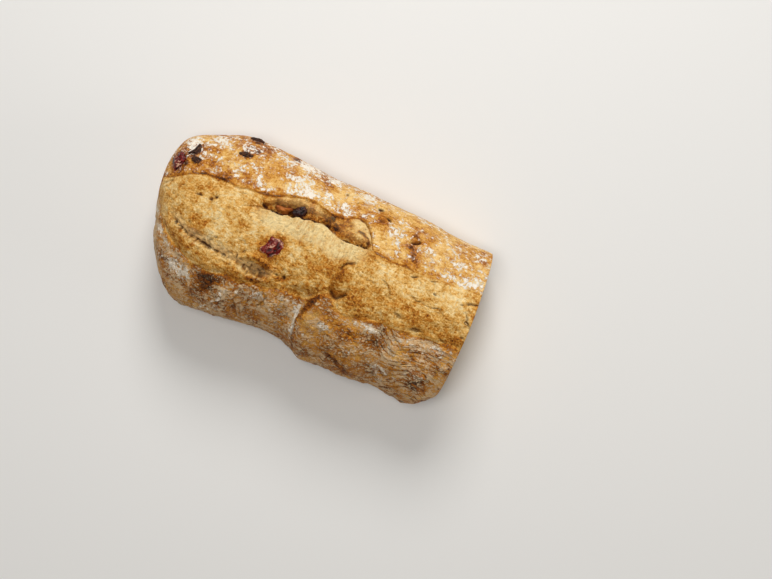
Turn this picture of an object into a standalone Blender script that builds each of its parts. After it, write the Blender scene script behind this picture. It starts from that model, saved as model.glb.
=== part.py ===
"""Part loaf of fruit and nut bread: floured, split along its top, round at one end and cut at the other.

The loaf lies along X on z = 0, with its round end at -X and its cut end at +X. Sizes are in
millimetres, and MM turns them into metres where a mesh is made.
"""
import math

import bmesh
import bpy
import numpy as np
from mathutils import Matrix, Vector

MM = 0.001
GAP = 0.4                  # air between a fruit or nut and its pocket

# Outline of the loaf, before its relief
END_X = -92.4              # tip of the round end
CUT_X = 88.8               # cut end, at the height of the widest line
CUT_LEAN = 0.05            # the cut leans out by this for each millimetre of height
GIRTH = 19.5               # height of the widest line
UNDER = 1.12 * GIRTH       # reach of the underside, cut off flat at z = 0
DOME_POWER = 2.15          # fullness of the section above the widest line
UNDER_POWER = 2.8          # and below it
SIDE_REACH = 42.0          # lengths over which the sides,
CROWN_REACH = 55.0         # the crown
UNDER_REACH = 26.0         # and the underside close in the round end
TIP_SHIFT = 16.4           # the tip lies off the loaf's middle, towards +Y
TIP_TURN_X = -61.0         # where the middle line starts to bend towards the tip

# Smooth curves along x: the two sides, the crown, and the lines of the split top
NEAR_SIDE = [(-61, -48.0), (-30, -45.8), (-8, -44.2), (18, -50.0), (36, -51.6), (54, -49.6),
             (80, -49.4), (91, -41.0)]
FAR_SIDE = [(-61, 51.2), (-45, 51.5), (-8, 47.9), (36, 45.7), (66, 43.0), (91, 41.2)]
CROWN = [(-61, 56.4), (-20, 57.8), (40, 57.4), (66, 56.0), (91, 55.4)]
FAR_LIP = [(-88, 13.4), (-84, 15.2), (-78, 18.0), (-72, 20.6), (-66, 22.6), (-60, 23.3),
           (-50, 22.6), (-44, 22.8), (-36, 24.0), (-30, 25.2), (-22, 27.6), (-14, 29.2),
           (-8, 29.4), (-2, 28.0), (4, 27.2), (9, 27.6), (13, 30.0), (17, 31.0), (21, 29.2),
           (25, 25.2), (27, 21.6), (29, 18.4), (32, 17.0), (38, 16.4), (50, 16.3), (70, 16.1),
           (80, 16.9), (91, 17.4)]
NEAR_LIP = [(-88, 2.0), (-84, -5.0), (-80, -9.4), (-75, -14.0), (-70, -17.6), (-65, -20.6),
            (-60, -22.8), (-54, -24.2), (-48, -24.6), (-42, -23.6), (-36, -22.8), (-30, -23.4),
            (-24, -22.0), (-18, -21.4), (-12, -20.2), (-4, -19.6), (3, -20.6), (8, -17.6),
            (12, -13.2), (17, -13.2), (22, -16.2), (28, -18.6), (34, -17.0), (42, -15.4),
            (54, -15.2), (70, -14.6), (80, -13.4), (91, -14.0)]
DEEP_EDGE = [(-42, 15.0), (-36, 16.6), (-30, 17.4), (-22, 17.4), (-14, 18.8), (-6, 19.8),
             (2, 20.4), (7, 18.4), (11, 16.8), (20, 16.6), (28, 17.4)]
NEAR_CRACK = [(-76, -4.6), (-70, -7.4), (-66, -9.6), (-60, -11.2), (-54, -11.8), (-47, -13.6),
              (-41, -14.3), (-34, -14.8), (-26, -16.6), (-18, -15.8), (-12, -13.0), (4, -9.6),
              (20, -8.0), (91, -6.0)]

# Relief: heights and depths from the outline
SPLIT_BULGE = 2.2          # how far the torn face rises in its middle
# How far it sinks beside its lips, and how far the lips stand up
NEAR_SINK = [(-88, 0.3), (-50, 0.4), (0, 0.8), (10, 0.5), (18, 0.1), (91, 0.0)]
FAR_SINK = [(-88, 0.4), (-60, 0.8), (-30, 0.6), (0, 0.6), (9, 0.4), (14, 0.1), (24, 0.1),
            (29, 0.25), (91, 0.12)]
FAR_LIP_RISE = [(-84, 0.2), (-60, 0.4), (-34, 0.4), (-20, 0.8), (4, 0.9), (13, 0.3), (24, 0.3),
                (91, 0.12)]
NEAR_LIP_RISE = [(-84, 0.2), (-60, 0.3), (-40, 0.6), (0, 0.7), (16, 0.2), (91, 0.1)]
DEEP_CRACK = [(-44, 0.0), (-38, 0.8), (-32, 2.2), (-26, 4.2), (-16, 5.4), (-6, 5.0), (0, 4.6),
              (4, 3.0), (8, 1.6), (12, 2.2), (15, 3.2), (20, 2.6), (26, 2.0), (29, 0.0)]
DEEP_WIDTH = [(-42, 0.6), (-34, 1.6), (-30, 3.0), (-24, 5.8), (-12, 6.0), (-6, 4.8), (0, 5.0),
              (5, 4.0), (10, 3.4), (15, 3.2), (21, 3.0), (28, 1.2)]
SHELF_DROP = [(-42, 0.0), (-34, 0.5), (-24, 1.5), (-6, 2.1), (3, 2.6), (8, 1.8), (13, 0.6),
              (20, 0.3), (28, 0.1)]
NEAR_CRACK_DEPTH = [(-77, 0.0), (-70, 1.6), (-64, 2.2), (-52, 2.1), (-44, 2.0), (-37, 1.1),
                    (-32, 1.3), (-28, 2.0), (-22, 2.0), (-17, 1.1), (-13, 0.0)]
RIDGE_RISE = [(-84, 0.2), (-68, 1.1), (-40, 1.2), (-16, 0.7), (-6, 0.0)]
LOBE = (19.4, 25.8, 15.5, 7.6, -30, 0.8)          # x, y, length, width, turn in degrees, height
POCKET = (-24.6, -13.6, 15.0, 6.4, -6, -1.5)
# The fold of the near flank: x along y
FOLD = [(-48, 7.6), (-42, 6.4), (-36, 5.0), (-30, 5.2), (-24, 6.2), (-17, 8.2), (-12, 12.0)]
FOLD_DEPTH = 3.0
FOLD_OVERLAP = 1.4         # the lobe on its +X side stands over the other
PIT = (21.0, -8.6, 12.6, 9.4)      # x, y, width, length
PIT_DEPTH = 4.4
LUMP = (28.0, 35.6, 6.0, 1.4)      # x, y, radius, height: crust over a hidden raisin
UNEVEN = 0.45              # slow unevenness of hand-shaped dough

# Loft
END_RINGS = 20
BODY_RINGS = 56
END_RINGS_X = -50.0        # rings are spaced for the round end up to here
TOP_COLUMNS = (10, 5, 9, 5, 9)     # side, ridge, torn face, deep crack, far side
UNDER_COLUMNS = 16
EDGE_HOLD_X = -84.0        # the lines of the split keep their share of the width past here

# Fruit and nuts on the outside: x, y, length, width, height, turn in degrees, rise over the crust
OUTSIDE = {
    "cranberry_top": (-20.6, -0.2, 13.4, 9.2, 5.4, 82, -1.0, 0.6),
    "cranberry_crack": (-13.4, 25.2, 8.2, 4.6, 4.6, 36, 1.2, 0.0),
    "nut_crack": (-22.4, 23.6, 7.6, 3.8, 3.8, 8, 0.7, 0.4),
    "cranberry_end": (-84.0, 23.4, 11.0, 8.0, 6.0, 80, -0.6, 0.6),
    "raisin_end": (-78.0, 32.4, 9.0, 3.8, 4.0, 62, -0.4, 1.4),
    "raisin_end_small": (-75.6, 27.6, 6.0, 3.8, 3.6, 160, -0.8, 0.0),
    "raisin_flank": (-52.0, 40.2, 7.0, 3.2, 3.6, 12, -0.9, 0.0),
    "raisin_side": (-50.6, 50.4, 7.0, 3.4, 4.0, 8, -0.2, 0.0),
}

# Fruit and nuts in the cut face: y, z, length, width, turn in degrees, bend, depth into the loaf
CUT_FACE = {
    "cut_cranberry_bent": (31.0, 27.0, 11.0, 4.6, 62, 1.7, 6.0),
    "cut_cranberry_long": (7.4, 8.6, 12.5, 5.4, 6, 0.4, 7.0),
    "cut_cranberry_wavy": (-12.5, 33.5, 16.0, 5.6, 34, 1.0, 7.0),
    "cut_cranberry_low": (-30.5, 9.6, 8.4, 4.8, 158, 1.4, 6.0),
    "cut_raisin_far": (29.0, 7.4, 11.6, 6.2, 172, 0.8, 7.0),
    "cut_raisin_near": (-15.5, 8.2, 9.4, 4.4, 24, 0.4, 6.0),
    "cut_hazelnut": (7.0, 43.6, 11.8, 10.6, 30, 0.0, 10.0),
    "cut_blanched_nut": (-4.6, 19.4, 11.6, 8.4, 4, 0.0, 9.0),
    "cut_almond": (15.6, 17.0, 8.6, 6.6, 140, 0.0, 12.0),
}
WRINKLES = {"cranberry": 0.10, "raisin": 0.08, "nut": 0.02}

COLOURS = {
    "crust": ((0.52, 0.27, 0.09), 0.75),
    "cranberry": ((0.16, 0.012, 0.016), 0.35),
    "raisin": ((0.035, 0.012, 0.008), 0.4),
    "nut": ((0.62, 0.42, 0.19), 0.5),
}


def along(points, x):
    """Value at x of a smooth curve through points (x, value), level past its two ends."""
    xs, values = np.array(points, float).T
    slopes = np.gradient(values, xs)
    x = np.clip(x, xs[0], xs[-1])
    i = np.clip(np.searchsorted(xs, x) - 1, 0, len(xs) - 2)
    span = xs[i + 1] - xs[i]
    t = (x - xs[i]) / span
    start = (2 * t**3 - 3 * t**2 + 1) * values[i] + (t**3 - 2 * t**2 + t) * span * slopes[i]
    end = (3 * t**2 - 2 * t**3) * values[i + 1] + (t**3 - t**2) * span * slopes[i + 1]
    return start + end


def ramp(value, low, high):
    """0 below low, 1 above high, smooth between."""
    t = np.clip((value - low) / (high - low), 0, 1)
    return t * t * (3 - 2 * t)


def closing(x, reach, power):
    """1 along the loaf, falling to 0 at the tip of the round end as an oval does."""
    t = np.clip((END_X + reach - x) / reach, 0, 1)
    return (1 - t**power) ** (1 / power)


def section(x):
    """Middle, half width, height of the crown and reach of the underside at x."""
    near = along(NEAR_SIDE, x)
    far = along(FAR_SIDE, x)
    bend = np.clip((TIP_TURN_X - x) / (TIP_TURN_X - END_X), 0, 1) ** 2
    middle = (near + far) / 2 + TIP_SHIFT * bend
    half = (far - near) / 2 * closing(x, SIDE_REACH, 2.0)
    crown = (along(CROWN, x) - GIRTH) * closing(x, CROWN_REACH, 2.3)
    under = UNDER * closing(x, UNDER_REACH, 2.0)
    return middle, half, crown, under


def share_of_width(x, y):
    """Where y lies across the loaf, -1 at the near side and 1 at the far side."""
    middle, half, _, _ = section(x)
    return (y - middle) / half


def dome_height(x, share):
    """Height of the plain outline over a share of the width."""
    crown = section(x)[2]
    return GIRTH + crown * np.clip(1 - np.abs(share) ** DOME_POWER, 0, 1) ** (1 / DOME_POWER)


def spot(x, y, cx, cy, length, width, turn):
    """1 at the middle of an oval, falling to 0 past its edge."""
    c, s = math.cos(math.radians(turn)), math.sin(math.radians(turn))
    u = ((x - cx) * c + (y - cy) * s) / (length / 2)
    v = ((y - cy) * c - (x - cx) * s) / (width / 2)
    return np.exp(-(u * u + v * v))


def pit_share(x, y):
    """1 at the foot of the pit: a slope towards the near side that ends at a steep wedge-shaped rim."""
    cx, cy, width, length = PIT
    u, v = (x - cx) / (width / 2), (cy + length / 2 - y) / length
    rim = 1 - 0.9 * np.abs(u) ** 1.3
    slope = np.clip((v + 0.25) / np.maximum(rim + 0.25, 0.1), 0, 1) ** 2.2
    return slope * (1 - ramp(v, rim, rim + 0.14)) * ramp(1 - np.abs(u), 0, 0.35)


def relief(x, y, z):
    """How far the crust stands out from the plain outline at a point of it."""
    on_top = ramp(z, GIRTH - 6, GIRTH + 8)
    far_lip = along(FAR_LIP, x)
    near_lip = along(NEAR_LIP, x)
    past_far = 1 - ramp(far_lip - y, -0.3, 0.9)
    past_near = 1 - ramp(y - near_lip, -1.6, 1.6)
    across = np.clip((y - near_lip) / (far_lip - near_lip), 0, 1)
    sink = along(NEAR_SINK, x) * (1 - across) + along(FAR_SINK, x) * across
    height = (1 - past_near) * (1 - past_far) * (SPLIT_BULGE * 4 * across * (1 - across) - sink)
    height += past_far * along(FAR_LIP_RISE, x) * np.exp(-np.abs(y - far_lip) / 7)
    height += past_near * along(NEAR_LIP_RISE, x) * np.exp(-np.abs(y - near_lip) / 8)

    past_edge = y - along(DEEP_EDGE, x)
    open_width = along(DEEP_WIDTH, x)
    shelf = ramp(past_edge, open_width, open_width + 1.8)
    to_lip = past_edge / np.maximum(far_lip - along(DEEP_EDGE, x), 2)
    height -= along(DEEP_CRACK, x) * ramp(past_edge, -0.4, 1.2) * (1 - shelf)
    height -= along(SHELF_DROP, x) * shelf * (1 - 0.85 * ramp(to_lip, 0.3, 1)) * (1 - past_far)
    crack = y - along(NEAR_CRACK, x)
    rounded = 1 - ramp(crack, 0.4, 3) / 2 - ramp(crack, 2, 8) / 2
    height -= along(NEAR_CRACK_DEPTH, x) * ramp(crack, -0.8, 0.4) * rounded
    ridge = np.clip((y - near_lip) / np.maximum(along(NEAR_CRACK, x) - near_lip, 3), 0, 1)
    height += along(RIDGE_RISE, x) * 4 * ridge * (1 - ridge)
    for *place, rise in (LOBE, POCKET):
        height += rise * spot(x, y, *place) * (1 - past_far)

    beside = x - along(FOLD, y)
    folded = ramp(-y, 11, 17) * ramp(z, 2, 16)
    height -= folded * FOLD_DEPTH * np.exp(-(beside / np.where(beside > 0, 1.6, 3.4)) ** 2)
    height += folded * FOLD_OVERLAP * (np.exp(-((beside - 5) / 5) ** 2) - np.exp(-((beside + 6) / 5) ** 2))
    cx, cy, radius, rise = LUMP
    height += rise * np.exp(-((x - cx) ** 2 + (y - cy) ** 2) / radius**2)
    height -= PIT_DEPTH * pit_share(x, y)
    slow = np.sin(x / 11 + 0.6) * np.sin(y / 9 + 1.1) + 0.6 * np.sin(x / 5.7 + y / 8.3)
    height = height * on_top + UNEVEN * slow * ramp(z, 1, 14)
    return height * ramp(x - END_X, 0.5, 9)


def stand_out(x, y, z):
    """Outline points moved out from the loaf's middle line by the relief, with the base kept flat."""
    middle, _, _, _ = section(x)
    from_x = np.maximum(x, END_X + SIDE_REACH)
    out = np.stack([x - from_x, y - middle, z - GIRTH], -1)
    out /= np.maximum(np.linalg.norm(out, axis=-1, keepdims=True), 1)
    moved = np.stack([x, y, z], -1) + out * relief(x, y, z)[..., None]
    moved[..., 2] = np.where(z <= 0, 0, np.maximum(moved[..., 2], 0))
    moved[..., 0] += CUT_LEAN * (moved[..., 2] - GIRTH) * ramp(x, CUT_X - 25, CUT_X)
    return moved


def crust_point(x, y):
    """A point of the crust over (x, y), and the direction that it faces."""
    def at(px, py):
        share = share_of_width(px, py)
        return stand_out(np.array(px), np.array(py), dome_height(px, share))
    reach = 1.0
    point = at(x, y)
    lengthways = at(x + reach, y) - at(x - reach, y)
    crossways = at(x, y + reach) - at(x, y - reach)
    facing = Vector(np.cross(lengthways, crossways)).normalized()
    return Vector(point), facing


def ring_places():
    """x of each ring, close together towards the tip of the round end."""
    turn = np.linspace(0, math.pi / 2, END_RINGS + 1)[1:]
    end = END_X + (END_RINGS_X - END_X) * (1 - np.cos(turn))
    body = np.linspace(END_RINGS_X, CUT_X, BODY_RINGS + 1)[1:]
    return np.concatenate([end, body])


def ring(x):
    """Points round the loaf at x, from the near side over the top and back under it."""
    middle, half, crown, under = section(x)
    held = max(x, EDGE_HOLD_X)
    far = along(FAR_LIP, held)
    lines = (along(NEAR_LIP, held), along(NEAR_CRACK, held), min(along(DEEP_EDGE, held), far - 3), far)
    edges = [-1.0, *(share_of_width(held, y) for y in lines), 1.0]
    angles = [math.acos(math.copysign(abs(e) ** (DOME_POWER / 2), e)) for e in edges]
    top = np.concatenate([np.linspace(a, b, n, endpoint=False)
                          for a, b, n in zip(angles, angles[1:], TOP_COLUMNS)])
    low = np.linspace(0, math.pi, UNDER_COLUMNS + 1)[:-1]
    top_y = np.sign(np.cos(top)) * np.abs(np.cos(top)) ** (2 / DOME_POWER)
    low_y = np.sign(np.cos(low)) * np.abs(np.cos(low)) ** (2 / UNDER_POWER)
    top_z = GIRTH + crown * np.sin(top) ** (2 / DOME_POWER)
    low_z = np.maximum(GIRTH - under * np.abs(np.sin(low)) ** (2 / UNDER_POWER), 0)
    y = middle + half * np.concatenate([top_y, low_y])
    return stand_out(np.full_like(y, x), y, np.concatenate([top_z, low_z]))


def material(name):
    """Principled material in one of the loaf's colours."""
    colour, roughness = COLOURS[name]
    made = bpy.data.materials.get(name) or bpy.data.materials.new(name)
    made.use_nodes = True
    shader = made.node_tree.nodes["Principled BSDF"]
    shader.inputs["Base Color"].default_value = (*colour, 1)
    shader.inputs["Roughness"].default_value = roughness
    shader.inputs["Metallic"].default_value = 0
    return made


def add_object(name, bm, collection, finish):
    """Object from a mesh in millimetres, in a collection and with a material."""
    bmesh.ops.scale(bm, vec=Vector((MM, MM, MM)), verts=bm.verts)
    bmesh.ops.recalc_face_normals(bm, faces=bm.faces)
    mesh = bpy.data.meshes.new(name)
    bm.to_mesh(mesh)
    bm.free()
    mesh.materials.append(material(finish))
    made = bpy.data.objects.new(name, mesh)
    collection.objects.link(made)
    return made


def loaf_mesh():
    """Loft of the rings, closed at the tip and flat at the cut and the base."""
    bm = bmesh.new()
    rings = [[bm.verts.new(p) for p in ring(x)] for x in ring_places()]
    tip = bm.verts.new((END_X, section(END_X)[0], GIRTH))
    for now, following in zip(rings, rings[1:]):
        for k in range(len(now)):
            bm.faces.new((now[k - 1], now[k], following[k], following[k - 1]))
    for k in range(len(rings[0])):
        bm.faces.new((tip, rings[0][k], rings[0][k - 1]))
    bm.faces.new(rings[-1])
    flat = [f for f in bm.faces if all(v.co.z == 0 for v in f.verts)]
    bmesh.ops.dissolve_faces(bm, faces=flat, use_verts=True)
    return bm


def lump(size, wrinkle, bend, grow=0.0):
    """Dried fruit or nut about its own middle: an oval, shrivelled and bent along its length."""
    bm = bmesh.new()
    bmesh.ops.create_icosphere(bm, subdivisions=2, radius=1)
    half = Vector(size) / 2
    for v in bm.verts:
        d = v.co.copy()
        shrivel = 1 + wrinkle * (math.sin(5 * d.x + 7 * d.z) + math.sin(6 * d.y + 4 * d.x))
        v.co = Vector(d[i] * half[i] * shrivel for i in range(3))
        v.co.y += bend * (2 * d.x**2 - 0.6)
    bm.normal_update()
    facing = [v.normal.copy() for v in bm.verts]
    for v, normal in zip(bm.verts, facing):
        v.co += normal * grow
    return bm


def set_in_crust(x, y, turn, rise):
    """Place of a lump whose middle stands by rise over the crust, turned about the crust's normal."""
    point, facing = crust_point(x, y)
    side = Matrix.Rotation(math.radians(turn), 3, facing) @ Vector((1, 0, 0))
    side = (side - facing * side.dot(facing)).normalized()
    axes = Matrix((side, facing.cross(side), facing)).transposed().to_4x4()
    return Matrix.Translation(point + facing * rise) @ axes


def set_in_cut(y, z, turn):
    """Place of a lump whose middle lies on the cut face, its length turned up from +Y."""
    lean = Vector((1, 0, -CUT_LEAN)).normalized()
    side = Matrix.Rotation(math.radians(turn), 3, lean) @ Vector((0, 1, 0))
    axes = Matrix((side, lean.cross(side), lean)).transposed().to_4x4()
    return Matrix.Translation((CUT_X + CUT_LEAN * (z - GIRTH), y, z)) @ axes


def slice_off(bm):
    """Cuts a lump off along the cut face."""
    faces = bmesh.ops.bisect_plane(bm, geom=bm.verts[:] + bm.edges[:] + bm.faces[:], dist=1e-6,
                                   plane_co=(CUT_X, 0, GIRTH), plane_no=(1, 0, -CUT_LEAN), clear_outer=True)
    edges = [e for e in faces["geom_cut"] if isinstance(e, bmesh.types.BMEdge)]
    bmesh.ops.contextual_create(bm, geom=edges)


def add_lump(name, size, bend, place, parts, pockets, cut):
    """A fruit or nut, and the cutter of the pocket that it lies in."""
    kind = next((k for k in ("cranberry", "raisin") if k in name), "nut")
    wrinkle = WRINKLES[kind]
    body = lump(size, wrinkle, bend)
    body.transform(place)
    if cut:
        slice_off(body)
    add_object(name, body, parts, kind)
    hollow = lump(size, wrinkle, bend, grow=GAP)
    hollow.transform(place)
    cutter = add_object("pocket_" + name, hollow, pockets, kind)
    cutter.hide_render = True
    cutter.display_type = "WIRE"


def build():
    for old in list(bpy.data.objects):
        bpy.data.objects.remove(old, do_unlink=True)
    parts = bpy.data.collections.new("fruit_and_nut_loaf")
    pockets = bpy.data.collections.new("pockets")
    for collection in (parts, pockets):
        bpy.context.scene.collection.children.link(collection)

    loaf = add_object("loaf", loaf_mesh(), parts, "crust")
    for name, (x, y, length, width, height, turn, rise, bend) in OUTSIDE.items():
        place = set_in_crust(x, y, turn, rise)
        add_lump(name, (length, width, height), bend, place, parts, pockets, cut=False)
    for name, (y, z, length, width, turn, bend, depth) in CUT_FACE.items():
        place = set_in_cut(y, z, turn)
        add_lump(name, (length, width, 2 * depth), bend, place, parts, pockets, cut=True)

    hollow = loaf.modifiers.new("pockets", "BOOLEAN")
    hollow.operation = "DIFFERENCE"
    hollow.operand_type = "COLLECTION"
    hollow.collection = pockets


build()
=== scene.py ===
"""Looks of a part loaf of fruit and nut bread, dressed over its CAD solids.

Lengths are millimetres until a mesh is made, where MM turns them into the frame's metres. The loaf lies
along X with its cut end at +X, and its split top has a near lip towards -Y and a far lip towards +Y.
"""
import math

import bmesh
import bpy
import numpy as np
from mathutils import Matrix, Vector


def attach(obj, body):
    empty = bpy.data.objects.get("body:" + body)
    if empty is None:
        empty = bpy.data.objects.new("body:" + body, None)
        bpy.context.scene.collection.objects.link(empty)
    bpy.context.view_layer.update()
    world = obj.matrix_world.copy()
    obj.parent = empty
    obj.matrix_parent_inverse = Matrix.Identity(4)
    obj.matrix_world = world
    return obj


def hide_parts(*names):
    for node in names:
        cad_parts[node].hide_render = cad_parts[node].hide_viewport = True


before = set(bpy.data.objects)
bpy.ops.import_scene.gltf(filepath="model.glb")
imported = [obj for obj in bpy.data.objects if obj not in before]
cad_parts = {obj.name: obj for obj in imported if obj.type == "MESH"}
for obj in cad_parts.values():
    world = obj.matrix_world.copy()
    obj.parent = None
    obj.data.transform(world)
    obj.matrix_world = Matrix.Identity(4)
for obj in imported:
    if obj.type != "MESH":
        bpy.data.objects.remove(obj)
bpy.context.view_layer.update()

MM = 0.001

# Outline of the loaf, as in the CAD source
END_X = -92.4
CUT_X = 88.8
CUT_LEAN = 0.05
GIRTH = 19.5
UNDER = 1.12 * GIRTH
DOME_POWER = 2.15
UNDER_POWER = 2.8
SIDE_REACH = 42.0
CROWN_REACH = 55.0
UNDER_REACH = 26.0
TIP_SHIFT = 16.4
TIP_TURN_X = -61.0
NEAR_SIDE = [(-61, -48.0), (-30, -45.8), (-8, -44.2), (18, -50.0), (36, -51.6), (54, -49.6),
             (80, -49.4), (91, -41.0)]
FAR_SIDE = [(-61, 51.2), (-45, 51.5), (-8, 47.9), (36, 45.7), (66, 43.0), (91, 41.2)]
CROWN = [(-61, 56.4), (-20, 57.8), (40, 57.4), (66, 56.0), (91, 55.4)]
FAR_LIP = [(-88, 13.4), (-84, 15.2), (-78, 18.0), (-72, 20.6), (-66, 22.6), (-60, 23.3), (-50, 22.6),
           (-44, 22.8), (-36, 24.0), (-30, 25.2), (-22, 27.6), (-14, 29.2), (-8, 29.4), (-2, 28.0),
           (4, 27.2), (9, 27.6), (13, 30.0), (17, 31.0), (21, 29.2), (25, 25.2), (27, 21.6), (29, 18.4),
           (32, 17.0), (38, 16.4), (50, 16.3), (70, 16.1), (80, 16.9), (91, 17.4)]
NEAR_LIP = [(-88, 2.0), (-84, -5.0), (-80, -9.4), (-75, -14.0), (-70, -17.6), (-65, -20.6),
            (-60, -22.8), (-54, -24.2), (-48, -24.6), (-42, -23.6), (-36, -22.8), (-30, -23.4),
            (-24, -22.0), (-18, -21.4), (-12, -20.2), (-4, -19.6), (3, -20.6), (8, -17.6), (12, -13.2),
            (17, -13.2), (22, -16.2), (28, -18.6), (34, -17.0), (42, -15.4), (54, -15.2), (70, -14.6),
            (80, -13.4), (91, -14.0)]
DEEP_EDGE = [(-42, 15.0), (-36, 16.6), (-30, 17.4), (-22, 17.4), (-14, 18.8), (-6, 19.8), (2, 20.4),
             (7, 18.4), (11, 16.8), (20, 16.6), (28, 17.4)]
NEAR_CRACK = [(-76, -4.6), (-70, -7.4), (-66, -9.6), (-60, -11.2), (-54, -11.8), (-47, -13.6),
              (-41, -14.3), (-34, -14.8), (-26, -16.6), (-18, -15.8), (-12, -13.0), (4, -9.6),
              (20, -8.0), (91, -6.0)]

# Main relief of the solids, with a shallower fold and a rounder pit
SPLIT_BULGE = 2.2
NEAR_SINK = [(-88, 0.3), (-50, 0.4), (0, 0.8), (10, 0.5), (18, 0.1), (91, 0.0)]
FAR_SINK = [(-88, 0.4), (-60, 0.8), (-30, 0.6), (0, 0.6), (9, 0.4), (14, 0.1), (24, 0.1), (29, 0.25),
            (91, 0.12)]
FAR_LIP_RISE = [(-84, 0.2), (-60, 0.4), (-34, 0.4), (-20, 0.8), (4, 0.9), (13, 0.3), (24, 0.3),
                (91, 0.12)]
NEAR_LIP_RISE = [(-84, 0.2), (-60, 0.3), (-40, 0.6), (0, 0.7), (16, 0.2), (91, 0.1)]
DEEP_CRACK = [(-44, 0.0), (-38, 0.8), (-32, 2.2), (-26, 4.2), (-16, 5.4), (-6, 5.0), (0, 4.6), (4, 3.0),
              (8, 1.6), (12, 2.2), (15, 3.2), (20, 2.6), (26, 2.0), (29, 0.0)]
DEEP_WIDTH = [(-42, 0.6), (-34, 1.6), (-30, 3.0), (-24, 5.8), (-12, 6.0), (-6, 4.8), (0, 5.0), (5, 4.0),
              (10, 3.4), (15, 3.2), (21, 3.0), (28, 1.2)]
SHELF_DROP = [(-42, 0.0), (-34, 0.5), (-24, 1.5), (-6, 2.1), (3, 2.6), (8, 1.8), (13, 0.6), (20, 0.3),
              (28, 0.1)]
NEAR_CRACK_DEPTH = [(-77, 0.0), (-70, 1.6), (-64, 2.2), (-52, 2.1), (-44, 2.0), (-37, 1.1), (-32, 1.3),
                    (-28, 2.0), (-22, 2.0), (-17, 1.1), (-13, 0.0)]
RIDGE_RISE = [(-84, 0.2), (-68, 1.1), (-40, 1.2), (-16, 0.7), (-6, 0.0)]
LOBE = (19.4, 25.8, 15.5, 7.6, -30)
POCKET = (-24.6, -13.6, 15.0, 6.4, -6)
FOLD = [(-48, 7.6), (-42, 6.4), (-36, 5.0), (-30, 5.2), (-24, 6.2), (-17, 8.2), (-12, 12.0)]
FOLD_DEPTH = 1.3
FOLD_OVERLAP = 1.4
PIT = (20.6, -8.6, 12.6, 9.4)
PIT_DEPTH = 4.0
LUMP = (28.0, 35.6, 6.0, 1.4)
# Run of the long creases near the cut
FAN_LINE = [(38, -6.0), (44, -14.0), (50, -22.0), (54, -26.4), (57, -28.0), (60, -28.0), (64, -26.8),
            (70, -25.0), (76, -24.2), (80, -24.5), (84, -25.5), (88, -27.0), (92, -29.0)]
UNEVEN = 0.45
POCKET_DEPTH = 0.9

# Lumps of the torn face and of the two flanks: height, size, seed and octaves of each layer
TORN_LUMPS = [(0.50, 8, 1, 3), (0.30, 3.2, 5, 2), (0.14, 1.4, 7, 2)]
NEAR_LUMPS = [(0.6, 10, 27, 3), (0.35, 3.6, 47, 2)]
FAR_LUMPS = [(0.24, 8, 71, 3), (0.13, 2.4, 75, 3)]

# Smoother places of the near flank: x, y, length, width and turn in degrees
BARE_SKIN = (14, -20, 22, 18, 0)
KNOB = (53.5, -36.6, 14, 8, 170)
# How much browner the far lip's edge is
LIP_TOAST = [(-90, 0.05), (-80, 0.12), (-60, 0.14), (-46, 0.08), (-30, 0.10), (-10, 0.16), (6, 0.12),
             (12, 0.04), (20, 0.06), (25, 0.14), (28, 0.12), (32, 0.04), (40, 0.06), (48, 0.0),
             (70, -0.04), (91, 0.0)]

# Folds of the near flank: a path with its raised side on its left, how far it is raised and how wide
FOLDS = {
    "left": ([(-46.5, -45), (-43, -41), (-36, -35.4), (-30, -32), (-26.4, -25)], 1.3, 3.6),
    "left, lower": ([(-30, -32), (-27.4, -37), (-25, -43)], 0.5, 2.4),
    "small": ([(31, -35.6), (26, -33), (21, -31.2), (16, -31.4)], -0.55, 2.6),
    "facet": ([(20, -39.6), (25, -40.8), (30, -41.6), (36, -44.0), (42, -47)], 0.35, 3.0),
    "knob": ([(46, -37.4), (50, -38.6), (54, -38.2), (58, -40.4), (59.4, -43)], 0.45, 2.2),
    "middle": ([(9, -27.4), (13, -31.4), (16.4, -33)], 0.4, 2.0),
}

# Ridges and brown lines of the torn face: a path, how far it is raised, its half width and how much
# darker it is
STREAKS = {
    "rim of the pocket": ([(-34.4, -16), (-33.6, -11), (-30.6, -8.4), (-25, -7.6), (-19.4, -9), (-15, -12)],
                          1.3, 0.9, 0.17),
    "foot of the pocket": ([(-33, -16.6), (-28, -18.4), (-22, -18.6), (-16.6, -16.4), (-13, -13.6)],
                           0.5, 1.0, 0.08),
    "across the lobe": ([(17.6, 24.2), (21.6, 23.2), (24.4, 21.6), (27.2, 19.2)], 0.5, 0.65, 0.5),
    "above the shelf": ([(-30, 24), (-22, 25.4), (-14, 26.6), (-6, 26.4)], 0.4, 1.0, 0.05),
    "shelf": ([(-4, 25), (2, 26.4), (8, 26.4), (12.6, 28)], 0.7, 1.1, 0.14),
    "crumbly lumps": ([(4.6, 24.6), (8, 22.4), (11, 19.6)], 1.0, 1.7, 0.12),
    "by the pit": ([(16.6, -1.4), (18.6, 1.2), (19, 4)], 0.3, 1.2, 0.12),
    "flap": ([(-38, -3), (-34, -1), (-33, 5), (-36, 9)], 0.15, 1.0, 0.1),
}

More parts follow.
